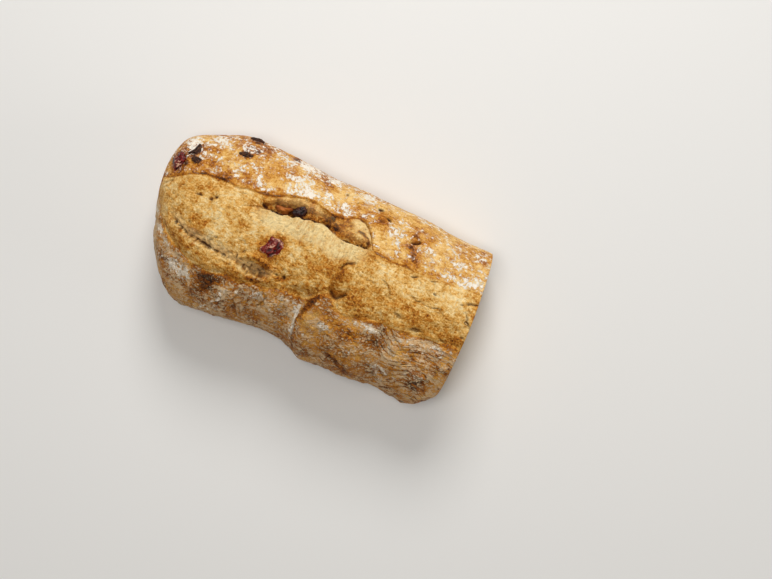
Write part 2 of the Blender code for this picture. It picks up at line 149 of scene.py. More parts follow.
# Small cracks of the crust: points (x, y), width and depth
CRACKS = {
    "beside the pit": ([(17, 0.6), (17.4, 3.6), (19.6, 6.2), (24.6, 8.2)], 0.42, 1.6),
    "along the crown": ([(26, 3.6), (30, 2.4), (34, 2.8), (38, 2.2)], 0.26, 0.7),
    "crown, middle": ([(38.5, 5.2), (41, 4.6), (43, 3.4), (45, 1.0), (46.8, -2.4)], 0.32, 1.0),
    "crown, cut end": ([(53, 4.0), (58, 2.6), (63, 1.6), (68, 1.4), (72, 2.2), (75.4, -1.0)],
                       0.30, 0.9),
    "at the cut": ([(82, 9.4), (85, 10.2), (88, 11.6), (92, 12.8)], 0.5, 1.7),
    "at the cut, low": ([(84.6, 6), (86, 1), (90, -1.6)], 0.45, 1.3),
    "round end": ([(-88, 9.6), (-86, 11.6), (-83, 13.2)], 0.5, 1.0),
    "deep crack's tail": ([(-43, 14.4), (-39, 15.4), (-36, 16.0), (-33, 17.6)], 0.4, 1.3),
    "by the pocket": ([(-35.4, -9), (-35, -12), (-33.4, -15.4)], 0.5, 1.1),
    "under the pocket": ([(-34, -21.4), (-27, -21.8), (-20, -19.6), (-14, -19.8)], 0.3, 0.4),
    "by the fold": ([(9.6, -16.6), (8, -20), (7, -25), (6.2, -31)], 0.6, 1.0),
    "flank, slanting": ([(-13.6, -24.6), (-15, -29), (-18, -33.4)], 0.45, 0.9),
    "arc of the lobe": ([(11.6, 29.6), (15, 30.4), (19, 30.2), (22.6, 28.2), (25.6, 24.8), (27.6, 20.6)],
                        0.34, 0.9),
}

# Small hollows and pores: x, y, length, width, turn in degrees, depth
HOLLOWS = [
    (-65.4, 11.2, 3.4, 1.2, 5, 1.2), (-58.8, 11.4, 1.8, 2.2, 10, 1.6), (-56.6, 13.2, 1.6, 2.0, 60, 1.2),
    (-31.6, 19.6, 1.8, 3.0, 75, 2.2), (-75.2, 12.8, 1.4, 0.8, 0, 0.6), (34.0, 13.0, 1.2, 0.8, 0, 0.5),
    (54.4, 13.6, 3.4, 1.0, 25, 1.1), (64.4, 14.8, 2.6, 0.8, 10, 0.8), (67.0, 8.2, 1.8, 1.2, 150, 1.0),
    (81.0, 8.4, 2.0, 0.8, 20, 0.8), (86.2, 0.6, 1.2, 2.4, 80, 1.4), (87.0, -6.6, 1.2, 2.0, 80, 0.9),
    (53.6, -8.2, 4.4, 2.0, 160, 0.7), (64.6, -12.0, 4.8, 2.2, 12, 0.8),
    (78.6, -12.0, 3.2, 1.4, 160, 0.6), (24.8, 39.6, 1.8, 3.0, 90, 1.5), (30.8, 35.6, 1.4, 3.4, 80, 1.3),
    (47.8, 30.2, 3.6, 1.9, 10, 2.4), (50.0, 31.2, 2.2, 1.6, 40, 1.6), (-8.6, -12.6, 1.6, 2.0, 40, 1.5),
    (9.6, -11.4, 2.4, 1.0, 150, 0.7), (24.0, -32.6, 1.6, 1.2, 0, 1.2), (14.6, 18.0, 3.6, 2.2, 170, 2.4),
    (2.4, 23.4, 4.0, 2.6, 160, 2.2), (20.6, 18.4, 1.6, 1.2, 30, 1.4), (24.0, 18.0, 1.8, 1.2, 160, 1.2),
    (-24.0, 23.6, 4.0, 1.0, 10, 1.2), (-46.0, -33.6, 3.0, 1.4, 20, 0.5),
    (-42.6, -32.4, 1.6, 1.0, 0, 0.6), (-51.0, -35.0, 3.4, 1.4, 150, 0.4),
    (5.4, 41.2, 1.2, 1.6, 60, 0.8), (-71.6, -6.2, 2.6, 1.0, 150, 1.2),
    (-68.0, -7.6, 1.8, 1.0, 140, 1.0), (-65.4, -9.2, 2.2, 0.9, 140, 1.2),
    (-61.4, -10.2, 2.6, 0.9, 165, 1.1), (-57.6, -10.8, 1.8, 1.0, 10, 1.3),
    (-54.2, -11.4, 3.0, 1.0, 170, 1.3), (-50.4, -12.2, 2.6, 1.0, 160, 1.2),
    (-46.4, -13.0, 3.0, 0.8, 170, 1.1), (-42.4, -13.6, 2.2, 0.8, 170, 1.0),
    (-48.6, -6.0, 1.6, 1.0, 20, 0.7), (-50.6, -8.0, 1.4, 0.9, 0, 0.7), (-32.4, -7.2, 2.0, 1.2, 30, 0.8),
    (-30.6, -14.6, 1.4, 1.2, 60, 1.2), (-26.6, -13.0, 1.2, 2.2, 20, 1.2),
    (-22.8, -14.4, 1.4, 1.8, 30, 1.1), (-20.2, -12.4, 1.2, 1.4, 0, 0.9),
    (-12.4, -12.4, 2.4, 0.9, 170, 1.0), (22.6, 18.6, 1.2, 1.4, 80, 1.3),
    (25.4, 18.2, 1.4, 1.2, 20, 1.4), (18.8, 17.8, 1.4, 1.0, 0, 1.0), (12.4, 38.6, 1.0, 1.0, 0, 0.6),
]

# Stains of the bake: x, y, length, width, turn in degrees, how much darker
STAINS = [
    (-47.0, -31.0, 15.0, 12.0, 60, 0.22), (-51.0, -34.0, 12.0, 9.0, 20, 0.08),
    (-45.0, -27.6, 10.0, 5.0, 20, 0.06), (-27.5, 48.4, 6.0, 4.0, 120, 0.4),
    (47.6, 26.6, 4.0, 5.0, 90, 0.40), (49.4, 22.2, 4.4, 4.0, 60, 0.40), (47.2, 34.0, 7.0, 4.4, 90, 0.2),
    (28.0, 33.0, 5.0, 3.6, 30, 0.34), (29.0, 38.0, 8.0, 7.0, 0, 0.08),
    (41.0, 23.0, 14.0, 5.0, 100, 0.1), (-50.0, 43.0, 14.0, 4.0, 10, 0.2),
    (-53.0, 27.0, 22.0, 4.0, 0, 0.12), (-78.0, 34.0, 8.0, 14.0, 60, 0.12),
    (-84.0, 27.0, 8.0, 8.0, 0, 0.12), (-72.0, 26.0, 10.0, 6.0, 30, 0.12),
    (37.0, -27.0, 16.0, 9.0, 5, 0.04), (37.0, -46.4, 20.0, 4.0, 160, 0.06),
    (16.4, -6.4, 3.6, 9.0, 10, 0.16), (27.0, -15.0, 17.0, 6.4, 170, 0.26),
    (2.0, -17.0, 14.0, 5.0, 10, 0.08), (8.4, -18.4, 5.0, 4.0, 60, 0.08),
    (13.0, -22.0, 9.0, 12.0, 20, -0.12), (29.0, -41.6, 14.0, 5.0, 165, 0.04),
    (-29.0, -38.0, 7.0, 12.0, 20, 0.05), (-36.0, -39.0, 12.0, 4.0, 45, 0.04),
    (6.0, -3.0, 24.0, 15.0, 20, 0.21), (11.0, -13.0, 16.0, 6.0, 10, 0.14),
    (18.0, -2.0, 8.0, 12.0, 120, 0.14), (35.0, -10.0, 26.0, 8.0, 0, 0.12),
    (60.0, -4.0, 30.0, 6.0, 170, 0.12), (47.0, 0.0, 4.0, 8.0, 20, 0.12),
    (76.0, -10.0, 24.0, 7.0, 175, 0.12), (8.0, 22.4, 12.0, 8.0, 130, 0.12),
    (24.4, 22.6, 5.0, 3.0, 160, 0.14), (16.0, 27.0, 10.0, 5.0, 165, -0.16),
    (-26.0, 22.6, 8.0, 2.4, 10, 0.12), (-4.0, 24.0, 12.0, 4.0, 0, 0.08),
    (-57.0, -16.0, 20.0, 4.0, 165, 0.10), (-28.0, -20.0, 20.0, 3.0, 5, 0.10),
    (-9.0, -14.0, 5.0, 3.0, 30, 0.2), (-38.0, 3.0, 4.0, 12.0, 70, 0.1),
    (-62.0, 3.0, 26.0, 12.0, 0, -0.04), (35.0, 9.5, 50.0, 7.0, 0, -0.08),
    (74.0, 8.0, 30.0, 8.0, 0, -0.10), (-75.0, 4.0, 12.0, 14.0, 40, -0.06),
    (89.0, -2.0, 5.0, 10.0, 90, -0.1), (-20.0, 33.0, 30.0, 8.0, 5, -0.10),
    (80.0, -18.0, 9.0, 6.0, 20, 0.1),
]

# Flour: how thick it lies along the far flank, and patches of more of it or less of it
# (x, y, length, width, turn in degrees, how much more)
FAR_FLOUR = [(-92, 0.64), (-80, 0.58), (-64, 0.54), (-46, 0.54), (-34, 0.50), (-24, 0.64), (6, 0.62),
             (20, 0.58), (34, 0.54), (50, 0.52), (62, 0.56), (90, 0.56)]
FLOUR_PATCHES = [(-65, 30, 9, 12, 20, 0.18), (-53, 30, 8, 9, 0, 0.20), (-41, 33, 10, 10, 140, 0.22),
                 (-68, 41, 14, 6, 10, 0.20), (-18, 30, 34, 8, 5, 0.22), (-22, 38, 14, 6, 0, 0.14),
                 (16, 27, 12, 6, 165, 0.16), (8, 33, 14, 6, 0, 0.08), (19, 41, 6, 10, 110, 0.14),
                 (56, 36, 12, 3, 5, 0.22), (80, 20, 14, 7, 170, 0.30), (73, 27, 10, 8, 0, 0.14),
                 (40, 33, 10, 8, 0, 0.10), (86, 24, 6, 14, 90, 0.12), (-82, 36, 8, 10, 60, 0.26),
                 (-40, 30, 6, 30, 90, -0.06), (-5, 41, 16, 4, 0, -0.18), (10, 38, 12, 5, 0, -0.16)]
NEAR_PATCHES = [(31, -19.6, 14, 6, 5, 0.56), (42, -19.6, 14, 7, 0, 0.44), (18.6, -28.4, 7, 4, 5, 0.70),
                (3.4, -27.0, 5, 6, 80, 0.54), (0, -22.6, 8, 5, 0, 0.44), (14, -14.6, 5, 3, 20, 0.50),
                (-60, -30, 6, 14, 70, 0.36), (-73, -19, 4, 10, 50, 0.50), (-80, -13, 4, 10, 55, 0.50),
                (-67, -27, 8, 5, 60, 0.30), (-86, -5, 3, 12, 65, 0.50), (-76, -26, 6, 12, 40, 0.20),
                (-19, -26, 16, 6, 10, 0.36), (-36, -30, 8, 5, 40, 0.34), (76, -17, 16, 5, 0, 0.40),
                (83, -20, 7, 5, 0, 0.30), (36, -35, 10, 8, 60, 0.24), (54, -38, 9, 6, 0, 0.14),
                (57, -25, 10, 9, 0, 0.20), (66, -20, 16, 6, 0, 0.20), (-8, -32, 14, 14, 0, 0.16),
                (-40, -42, 20, 5, 0, 0.20), (8, -36, 12, 8, 0, 0.16), (75, -34, 26, 14, 0, 0.10),
                (4.4, -32, 2, 16, 4, 0.42), (53, -39, 12, 7, 170, 0.12), (-62, -31, 8, 12, 60, 0.24),
                (37, -27, 15, 8, 5, -0.42), (36, -45, 20, 6, 165, -0.16), (-29, -38, 7, 11, 20, -0.24),
                (-47, -31, 13, 11, 60, -0.34), (8.6, -22, 4, 12, 172, -0.36),
                (14, -20, 12, 13, 20, -0.30), (24, -23, 12, 9, 160, -0.20), (10, -31, 12, 8, 20, -0.10),
                (-14, -34, 16, 16, 0, -0.08), (29, -42.6, 14, 5, 165, -0.06),
                (31, -39.6, 22, 9, 165, -0.30)]

# Fineness of the crust's mesh
END_RINGS = 88
BODY_RINGS = 244
END_RINGS_X = -50.0
TOP_COLUMNS = (96, 22, 50, 34, 58)
UNDER_COLUMNS = 32
EDGE_HOLD_X = -84.0
RIM = 1.3                  # width of the crust that shows round the cut face
RECESS = 5.0               # the crumb is set this deep in the crust
CRUMB_COLUMNS = 300
CRUMB_ROWS = 230
PORES = 1500               # open pores of the cut crumb

# Fruit and nuts of the solids, three of them a little deeper and one a little shorter.
# In the crust: x, y, length, width, height, turn in degrees, rise over the crust and bend
OUTSIDE = {
    "cranberry_top": (-20.6, -0.2, 13.4, 9.2, 5.4, 82, -1.0, 0.6),
    "cranberry_crack": (-13.4, 25.0, 8.2, 4.6, 4.6, 36, 0.6, 0.0),
    "nut_crack": (-22.4, 23.2, 7.6, 3.8, 3.8, 8, -0.5, 0.4),
    "cranberry_end": (-83.8, 23.4, 9.6, 8.0, 6.0, 80, -0.8, 0.6),
    "raisin_end": (-78.0, 32.4, 9.0, 3.8, 4.0, 62, -0.4, 1.4),
    "raisin_end_small": (-75.6, 27.6, 6.0, 3.8, 3.6, 160, -0.8, 0.0),
    "raisin_flank": (-52.0, 40.2, 7.0, 3.2, 3.6, 12, -0.9, 0.0),
    "raisin_side": (-50.6, 50.4, 7.0, 3.4, 4.0, 8, -0.9, 0.0),
}
# In the cut face: y, z, length, width, turn in degrees, bend and depth
CUT_FACE = {
    "cut_cranberry_bent": (31.0, 27.0, 11.0, 4.6, 62, 1.7, 6.0),
    "cut_cranberry_long": (7.4, 8.6, 12.5, 5.4, 6, 0.4, 7.0),
    "cut_cranberry_wavy": (-12.5, 33.5, 16.0, 5.6, 34, 1.0, 7.0),
    "cut_cranberry_low": (-30.5, 9.6, 8.4, 4.8, 158, 1.4, 6.0),
    "cut_raisin_far": (29.0, 7.4, 11.6, 6.2, 172, 0.8, 7.0),
    "cut_raisin_near": (-15.5, 8.2, 9.4, 4.4, 24, 0.4, 6.0),
    "cut_hazelnut": (7.0, 43.6, 11.8, 10.6, 30, 0.0, 10.0),
    "cut_blanched_nut": (-4.6, 19.4, 11.6, 8.4, 4, 0.0, 9.0),
    "cut_almond": (15.6, 17.0, 8.6, 6.6, 140, 0.0, 12.0),
}

# The photograph's camera: straight down, its sides turned against the loaf
CAMERA_PLACE = (0.0429, 0.00175, 0.750)
CAMERA_TURN = 22.0
CAMERA_LENS = 62.45

# Lights: name, place in metres, width in metres and power in watts
LAMPS = [("key light", (-0.16, 0.80, 0.72), 0.5, 7.4), ("top light", (-0.1, -0.05, 1.2), 0.5, 6.0),
         ("fill light", (0.95, 0.15, 0.25), 0.5, 1.7)]
WORLD_LIGHT = 0.12


def along(points, x):
    """Value at x of a smooth curve through points (x, value), level past its two ends."""
    xs, values = np.array(points, float).T
    slopes = np.gradient(values, xs)
    x = np.clip(x, xs[0], xs[-1])
    i = np.clip(np.searchsorted(xs, x) - 1, 0, len(xs) - 2)
    span = xs[i + 1] - xs[i]
    t = (x - xs[i]) / span
    start = (2 * t**3 - 3 * t**2 + 1) * values[i] + (t**3 - 2 * t**2 + t) * span * slopes[i]
    end = (3 * t**2 - 2 * t**3) * values[i + 1] + (t**3 - t**2) * span * slopes[i + 1]
    return start + end


def ramp(value, low, high):
    """0 below low, 1 above high, smooth between."""
    t = np.clip((value - low) / (high - low), 0, 1)
    return t * t * (3 - 2 * t)


def grain(points, size, seed):
    """Smooth repeatable noise from -1 to 1, with lumps of about the given size."""
    p = np.asarray(points, float) / size + 1000.5 + 17.31 * seed
    cell = np.floor(p).astype(np.int64)
    f = p - cell
    f = f * f * (3 - 2 * f)
    total = np.zeros(p.shape[:-1])
    for corner in np.ndindex(2, 2, 2):
        c = cell + np.array(corner)
        n = (c[..., 0] * 73856093) ^ (c[..., 1] * 19349663) ^ (c[..., 2] * 83492791)
        n = ((n ^ (n >> 13)) * 1274126177) & 0x7FFFFFFF
        n = ((n ^ (n >> 11)) * 69069 + 12345) & 0x7FFFFFFF
        weight = np.prod(np.where(np.array(corner) == 1, f, 1 - f), axis=-1)
        total += weight * (n / 0x3FFFFFFF - 1)
    return total


def rough(points, size, seed, octaves=3):
    """Noise with finer noise on it."""
    return sum(grain(points, size / 2**k, seed + k) / 2**k for k in range(octaves))


def layered(points, layers):
    """Noise in layers of (height, size, seed, octaves)."""
    return sum(height * rough(points, size, seed, octaves) for height, size, seed, octaves in layers)


def bell(distance, width):
    """1 at no distance, falling smoothly to a third at the given width."""
    return np.exp(-((distance / width) ** 2))


def creased(points, size, seed, octaves=2):
    """Noise with sharp crests at 1 and rounded valleys towards -1."""
    return sum((1 - 2 * np.abs(grain(points, size / 2**k, seed + k))) / 2**k for k in range(octaves)) / 1.5


def side_of_path(x, y, path):
    """Distance in plan to a path, above 0 on its left as it runs, and the share of the way along it."""
    best = np.full(np.shape(x), 1e9)
    share = np.zeros(np.shape(x))
    runs = list(zip(path, path[1:]))
    for k, ((ax, ay), (bx, by)) in enumerate(runs):
        length2 = (bx - ax) ** 2 + (by - ay) ** 2
        t = np.clip(((x - ax) * (bx - ax) + (y - ay) * (by - ay)) / length2, 0, 1)
        d = np.hypot(x - ax - t * (bx - ax), y - ay - t * (by - ay))
        left = (bx - ax) * (y - ay) - (by - ay) * (x - ax) > 0
        nearer = d < np.abs(best)
        share = np.where(nearer, (k + t) / len(runs), share)
        best = np.where(nearer, np.where(left, d, -d), best)
    return best, share


def spot(x, y, cx, cy, length, width, turn):
    """1 at the middle of an oval, falling to 0 past its edge."""
    c, s = math.cos(math.radians(turn)), math.sin(math.radians(turn))
    u = ((x - cx) * c + (y - cy) * s) / (length / 2)
    v = ((y - cy) * c - (x - cx) * s) / (width / 2)
    return np.exp(-(u * u + v * v))


def closing(x, reach, power):
    """1 along the loaf, falling to 0 at the tip of the round end as an oval does."""
    t = np.clip((END_X + reach - x) / reach, 0, 1)
    return (1 - t**power) ** (1 / power)


def section(x):
    """Middle, half width, height of the crown and reach of the underside at x."""
    near = along(NEAR_SIDE, x)
    far = along(FAR_SIDE, x)
    bend = np.clip((TIP_TURN_X - x) / (TIP_TURN_X - END_X), 0, 1) ** 2
    middle = (near + far) / 2 + TIP_SHIFT * bend
    half = (far - near) / 2 * closing(x, SIDE_REACH, 2.0)
    crown = (along(CROWN, x) - GIRTH) * closing(x, CROWN_REACH, 2.3)
    under = UNDER * closing(x, UNDER_REACH, 2.0)
    return middle, half, crown, under


def wobble(x, size, seed, amount):
    """Raggedness of a torn edge along x."""
    x = np.asarray(x, float)
    return amount * rough(np.stack([x, 0 * x, 0 * x], -1), size, seed)


def far_lip(x):
    return along(FAR_LIP, x) + wobble(x, 6, 31, 0.45)


def near_lip(x):
    return along(NEAR_LIP, x) + wobble(x, 7, 41, 0.9)


def share_of_width(x, y):
    """Where y lies across the loaf, -1 at the near side and 1 at the far side."""
    middle, half, _, _ = section(x)
    return (y - middle) / half


def deep_share(x, y):
    """0 at the torn edge of the deep crack under the far lip, 1 at the lip."""
    edge = along(DEEP_EDGE, x) + wobble(x, 4, 51, 0.5)
    return (y - edge) / np.maximum(far_lip(x) - edge, 2)


def main_relief(x, y, z):
    """The large forms of the solids, with ragged lips and crisper cracks and folds."""
    on_top = ramp(z, GIRTH - 6, GIRTH + 8)
    far, near = far_lip(x), near_lip(x)
    past_far = 1 - ramp((far - y) / along([(26, 1.0), (34, 2.0)], x), -0.15, 0.55)
    past_near = 1 - ramp(y - near, -1.6, 1.6)
    across = np.clip((y - near) / (far - near), 0, 1)
    sink = along(NEAR_SINK, x) * (1 - across) + along(FAR_SINK, x) * across
    height = (1 - past_near) * (1 - past_far) * (SPLIT_BULGE * 4 * across * (1 - across) - sink)
    height += past_far * along(FAR_LIP_RISE, x) * np.exp(-np.abs(y - far) / 7)
    height += past_near * along(NEAR_LIP_RISE, x) * np.exp(-np.abs(y - near) / 8)

    past_edge, open_width = deep_crack(x, y)
    shelf = ramp(past_edge, open_width, open_width + 1.8)
    height -= along(DEEP_CRACK, x) * ramp(past_edge, -0.3, 0.7) * (1 - shelf)
    height -= along(SHELF_DROP, x) * shelf * (1 - 0.85 * ramp(deep_share(x, y), 0.3, 1)) * (1 - past_far)
    height += 0.8 * spot(x, y, *LOBE) * (1 - past_far)
    crack = past_near_crack(x, y)
    left_open = 1 - ramp(crack, 0.4, 3) / 2 - ramp(crack, 2, 8) / 2
    height -= along(NEAR_CRACK_DEPTH, x) * ramp(crack, -0.4, 0.2) * left_open
    ridge = np.clip((y - near) / np.maximum(along(NEAR_CRACK, x) - near, 3), 0, 1)
    height += along(RIDGE_RISE, x) * 4 * ridge * (1 - ridge)

    beside = x - along(FOLD, y)
    folded = ramp(-y, 11, 17) * ramp(z, 2, 16)
    slot = bell(beside, np.where(beside > 0, 0.9, 3.4))
    height -= folded * (1 - 0.6 * ramp(-y, 29, 38)) * FOLD_DEPTH * slot
    height += folded * FOLD_OVERLAP * (bell(beside - 5, 5) - bell(beside + 6, 5))
    cx, cy, radius, rise = LUMP
    height += rise * np.exp(-((x - cx) ** 2 + (y - cy) ** 2) / radius**2)
    height -= PIT_DEPTH * pit_share(x, y)
    slow = np.sin(x / 11 + 0.6) * np.sin(y / 9 + 1.1) + 0.6 * np.sin(x / 5.7 + y / 8.3)
    height = height * on_top + UNEVEN * slow * ramp(z, 1, 14)
    return height * ramp(x - END_X, 0.5, 9)


def deep_crack(x, y):
    """How far past the torn edge of the deep crack a point is, and how wide the crack is open there."""
    return y - along(DEEP_EDGE, x) - wobble(x, 3, 51, 0.7), along(DEEP_WIDTH, x) + wobble(x, 4, 53, 0.5)


def past_near_crack(x, y):
    """How far past the ragged near crack a point is, towards the middle of the loaf."""
    return y - along(NEAR_CRACK, x) - wobble(x, 2.6, 61, 0.7) - wobble(x, 1.3, 64, 0.35)


def pit_share(x, y):
    """1 at the foot of the pit: a slope towards the near side that ends at a steep wedge-shaped rim."""
    cx, cy, width, length = PIT
    u, v = (x - cx) / (width / 2), (cy + length / 2 - y) / length
    rim = 1 - 0.7 * np.clip(np.abs(u + 0.1) - 0.14, 0, 1)
    slope = np.clip((v + 0.25) / (rim + 0.25), 0, 1) ** 1.7
    return slope * (1 - ramp(v, rim, rim + 0.14)) * ramp(1 - np.abs(u), 0, 0.45)


def wrinkled_skin(x, flank_y, p):
    """Sharp creases of the near flank's skin, towards -1 at their feet, between broad crests.

    A fan of long creases lies near the cut, steep at its left and bending over to its right, with short
    ones elsewhere. Returns the relief, where the fan lies, and the lengths along and across the creases
    of each kind.
    """
    drift = np.stack([grain(p, 6, 21), grain(p, 6, 22), 0 * x], -1)
    turn = np.radians(np.where(x < along(FOLD, flank_y), 56.0, 24.0))
    c, s = np.cos(turn), np.sin(turn)
    short = np.stack([x * c + flank_y * s, flank_y * c - x * s, 0 * x], -1)
    short = short + 1.6 * drift
    long = np.stack([x, (flank_y - along(FAN_LINE, x)) / 1.2, 0 * x], -1) + 0.8 * drift
    long = long + 0.35 * np.stack([grain(p, 2.6, 54), grain(p, 2.6, 55), 0 * x], -1)
    fan = ramp(x + 0.25 * (flank_y + 20) + 2 * grain(p, 5, 28), 42, 50)
    skin = creased(short * (0.7, 1, 1), 2.8, 23, 2) * (1 - fan)
    skin = skin + creased(long * (0.26, 1, 1), 2.1, 24, 2) * fan
    return -skin, fan, short, long


class Places:
    """Where each part of the crust lies, at points of the plain outline: mostly shares from 0 to 1."""

    def __init__(self, x, y, z):
        self.x, self.y, self.z = x, y, z
        self.p = p = np.stack([x, y, z], -1)
        self.far = far = far_lip(x)
        near = near_lip(x)
        self.past_near = y - near
        self.down = np.maximum(near - y, 0) + np.maximum(GIRTH + 6 - z, 0)      # way down the near flank
        self.on_top = ramp(z, GIRTH - 4, GIRTH + 10)
        self.ended = ramp(x + 0.35 * (y - 4), -90.5, -86.5)                     # 0 on the round end
        self.torn = ramp(self.past_near, -0.7, 0.7) * ramp(far - y, -0.1, 0.4) * self.ended * self.on_top
        self.far_side = ramp(y - far, -0.1, 0.4) * self.on_top + (1 - self.on_top) * ramp(y, -6, 6)
        self.near_side = np.clip(1 - self.torn - self.far_side, 0, 1)
        self.lobe = ramp(spot(x + grain(p, 3, 66), y, *LOBE), 0.34, 0.5) * self.torn
        self.lobe *= ramp(far - y, 0.2, 0.8)
        self.calm = (1 - 0.8 * spot(x, y, *BARE_SKIN)) * (1 - 0.7 * spot(x, y, *KNOB))
        self.calm *= 1 - 0.4 * ramp(3 - self.down, 0, 3)

        # the deep crack: its floor, and the shelf and the crumbly lumps between it and the far lip
        self.past_edge, self.open_width = past_edge, open_width = deep_crack(x, y)
        self.open_here = along(DEEP_CRACK, x) / 6
        shut = ramp(past_edge, open_width, open_width + 1.2)
        self.crevice = self.open_here * ramp(past_edge, -0.3, 0.5) * (1 - shut)
        self.shelf = self.open_here * shut * ramp(far - y, 0, 1.2)
        self.crumbly = bell(x - 7, 5.5) * ramp(past_edge, -0.4, 0.6) * ramp(far - y, 0, 1.2)

        # the near crack: its gap, the spongy crumb beyond it and the pocket at its end
        self.crack = crack = past_near_crack(x, y)
        self.gap_here = along(NEAR_CRACK_DEPTH, x) / 2.3
        self.gap = self.gap_here * ramp(crack, -0.6, 0) * (1 - ramp(crack, 0.5, 1.5))
        self.pocket = self.gap_here * ramp(spot(x + grain(p, 3, 65), y, *POCKET), 0.36, 0.6)
        beyond = self.gap_here * ramp(crack, 0.0, 0.8) * (1 - ramp(crack + rough(p, 4, 63), 3.0, 6.0))
        self.sponge = beyond * (1 - self.pocket) + 0.7 * self.pocket + 0.4 * self.shelf * ramp(x, -34, -24)
        self.sponge = np.clip(self.sponge, 0, 1)


def torn_relief(c):
    """Relief of the torn face, and where its pores lie."""
    height = c.torn * layered(c.p, TORN_LUMPS)
    height += c.torn * c.sponge * 0.42 * rough(c.p, 1.9, 8, 2)
    height += c.crevice * 2.1 * rough(c.p, 2.2, 12, 3)
    height += (c.shelf * 0.8 + c.crumbly * 1.5) * rough(c.p, 2.9, 14, 2)
    height -= POCKET_DEPTH * c.pocket
    cells = grain(c.p, 1.15, 15) + 0.4 * grain(c.p, 0.6, 16)
    pores = ramp(cells, 0.62 - 0.45 * c.sponge, 0.95 - 0.35 * c.sponge) * c.torn
    return height - pores * (0.35 + 0.35 * c.sponge), pores


def flank_relief(c, skin, fan):
    """Relief of the two flanks and of the lowest part of the crust."""
    drawn = 0.24 + 0.13 * fan * (1 + 0.8 * grain(c.p, 9, 52))
    height = c.near_side * ramp(c.z, 2, 12) * drawn * skin * c.calm
    height += c.near_side * layered(c.p, NEAR_LUMPS)
    height += c.far_side * c.on_top * layered(c.p, FAR_LUMPS)
    return height + ramp(c.z, 0.5, 6) * (1 - c.on_top) * 0.25 * rough(c.p, 7, 81)


def small_folds(c):
    """Relief of the near flank's small folds, and where all folds have painted shade on their slopes and
    flour with a painted highlight on their crests.
    """
    beside = c.x - along(FOLD, c.y)
    folded = ramp(-c.y, 12, 16) * ramp(c.z, 2, 12) * (1 - 0.7 * ramp(-c.y, 29, 38))
    wedge = 0.4 + 1.5 * ramp(c.y, -32, -19)
    # slope: where shade is painted below a fold; crest: flour with a painted highlight on a fold's top
    slope = folded * bell(beside - wedge + 0.5 * grain(c.p, 4, 30), 0.35 + 0.8 * wedge)
    crest = 0.5 * folded * bell(beside + 1.4 + 0.5 * grain(c.p, 3, 32), 0.8)
    crest *= ramp(grain(c.p, 3, 40), -0.6, 0.2)
    broken = ramp(grain(c.p, 2.6, 48), -0.7, 0.3)
    height = np.zeros_like(c.x)
    for path, rise, reach in FOLDS.values():
        beyond, share = side_of_path(c.x + 0.3 * grain(c.p, 2, 29), c.y, path)
        high = ramp(beyond, -0.35, 0.35)
        taper = np.clip(6 * share * (1 - share), 0, 1) * ramp(c.z, 5, 16)
        height += rise * taper * (2 * high - 1) * np.exp(-np.abs(beyond) / reach)
        crest = np.maximum(crest, min(abs(rise), 1) * taper * broken * bell(beyond - 0.8, 0.9))
        slope = np.maximum(slope, 0.28 * taper * bell(beyond + 1.0, 0.9))
    return height, slope, crest


def cracks_and_hollows(c, pores):
    """Relief of the small cracks, holes and hollows, and the shade painted into all openings of the crust.
    """
    # Painted shade: dark in the crevice's floor, the near crack's gap, the holes, pores, small cracks,
    # hollows and the pit's foot
    low = c.crevice * (1 - 0.9 * ramp(c.past_edge / np.maximum(c.open_width, 0.5), 0.25, 0.7))
    painted_shade = np.clip(low * (1.5 + 0.9 * rough(c.p, 2.6, 17)) * (1 - 0.8 * c.crumbly), 0, 1)
    painted_shade = np.maximum(painted_shade, 0.95 * c.gap * ramp(rough(c.p, 2.0, 18), -0.1, 0.3))
    by_lobe = ramp(c.x, 14, 18) * (1 - ramp(c.x, 26, 29))
    by_lobe *= ramp(c.past_edge, 0.2, 1.0) * (1 - ramp(c.past_edge, 3.4, 5))
    porous = np.maximum(by_lobe, c.pocket)
    holes = porous * ramp(rough(c.p, 2.0, 19, 3), 0.1, 0.5)
    painted_shade = np.maximum(painted_shade * (1 - 0.6 * porous), 0.85 * holes)
    painted_shade = np.maximum(painted_shade, pores * 0.35)
    height = -0.9 * holes
    bent_x, bent_y = c.x + 0.5 * grain(c.p, 1.5, 34), c.y + 0.6 * grain(c.p, 1.8, 33)
    broken = 0.45 + 0.55 * ramp(grain(c.p, 2.4, 36), -0.6, 0.2)
    for path, width, depth in CRACKS.values():
        beyond, share = side_of_path(bent_x, bent_y, path)
        taper = np.clip(6 * share * (1 - share), 0, 1) * c.on_top
        mark = bell(beyond, width) * taper * broken
        height -= depth * mark
        height += 0.35 * depth * ramp(beyond, -0.2, 0.6) * np.exp(-np.abs(beyond) / 1.6) * taper
        painted_shade = np.maximum(painted_shade, 0.7 * mark * min(depth, 1.0))
    bent_x, bent_y = c.x + 0.5 * grain(c.p, 1.6, 35), c.y + 0.4 * grain(c.p, 1.3, 38)
    for cx, cy, length, width, turn, depth in HOLLOWS:
        mark = spot(bent_x, bent_y, cx, cy, 1.3 * length, 1.1 * width, turn) * c.on_top
        height -= depth * mark
        painted_shade = np.maximum(painted_shade, ramp(mark, 0.2, 0.7) * min(depth + 0.1, 1.4) / 1.5)
    painted_shade = np.maximum(painted_shade, 0.9 * ramp(pit_share(c.x, c.y), 0.45, 1.05))
    return height, painted_shade


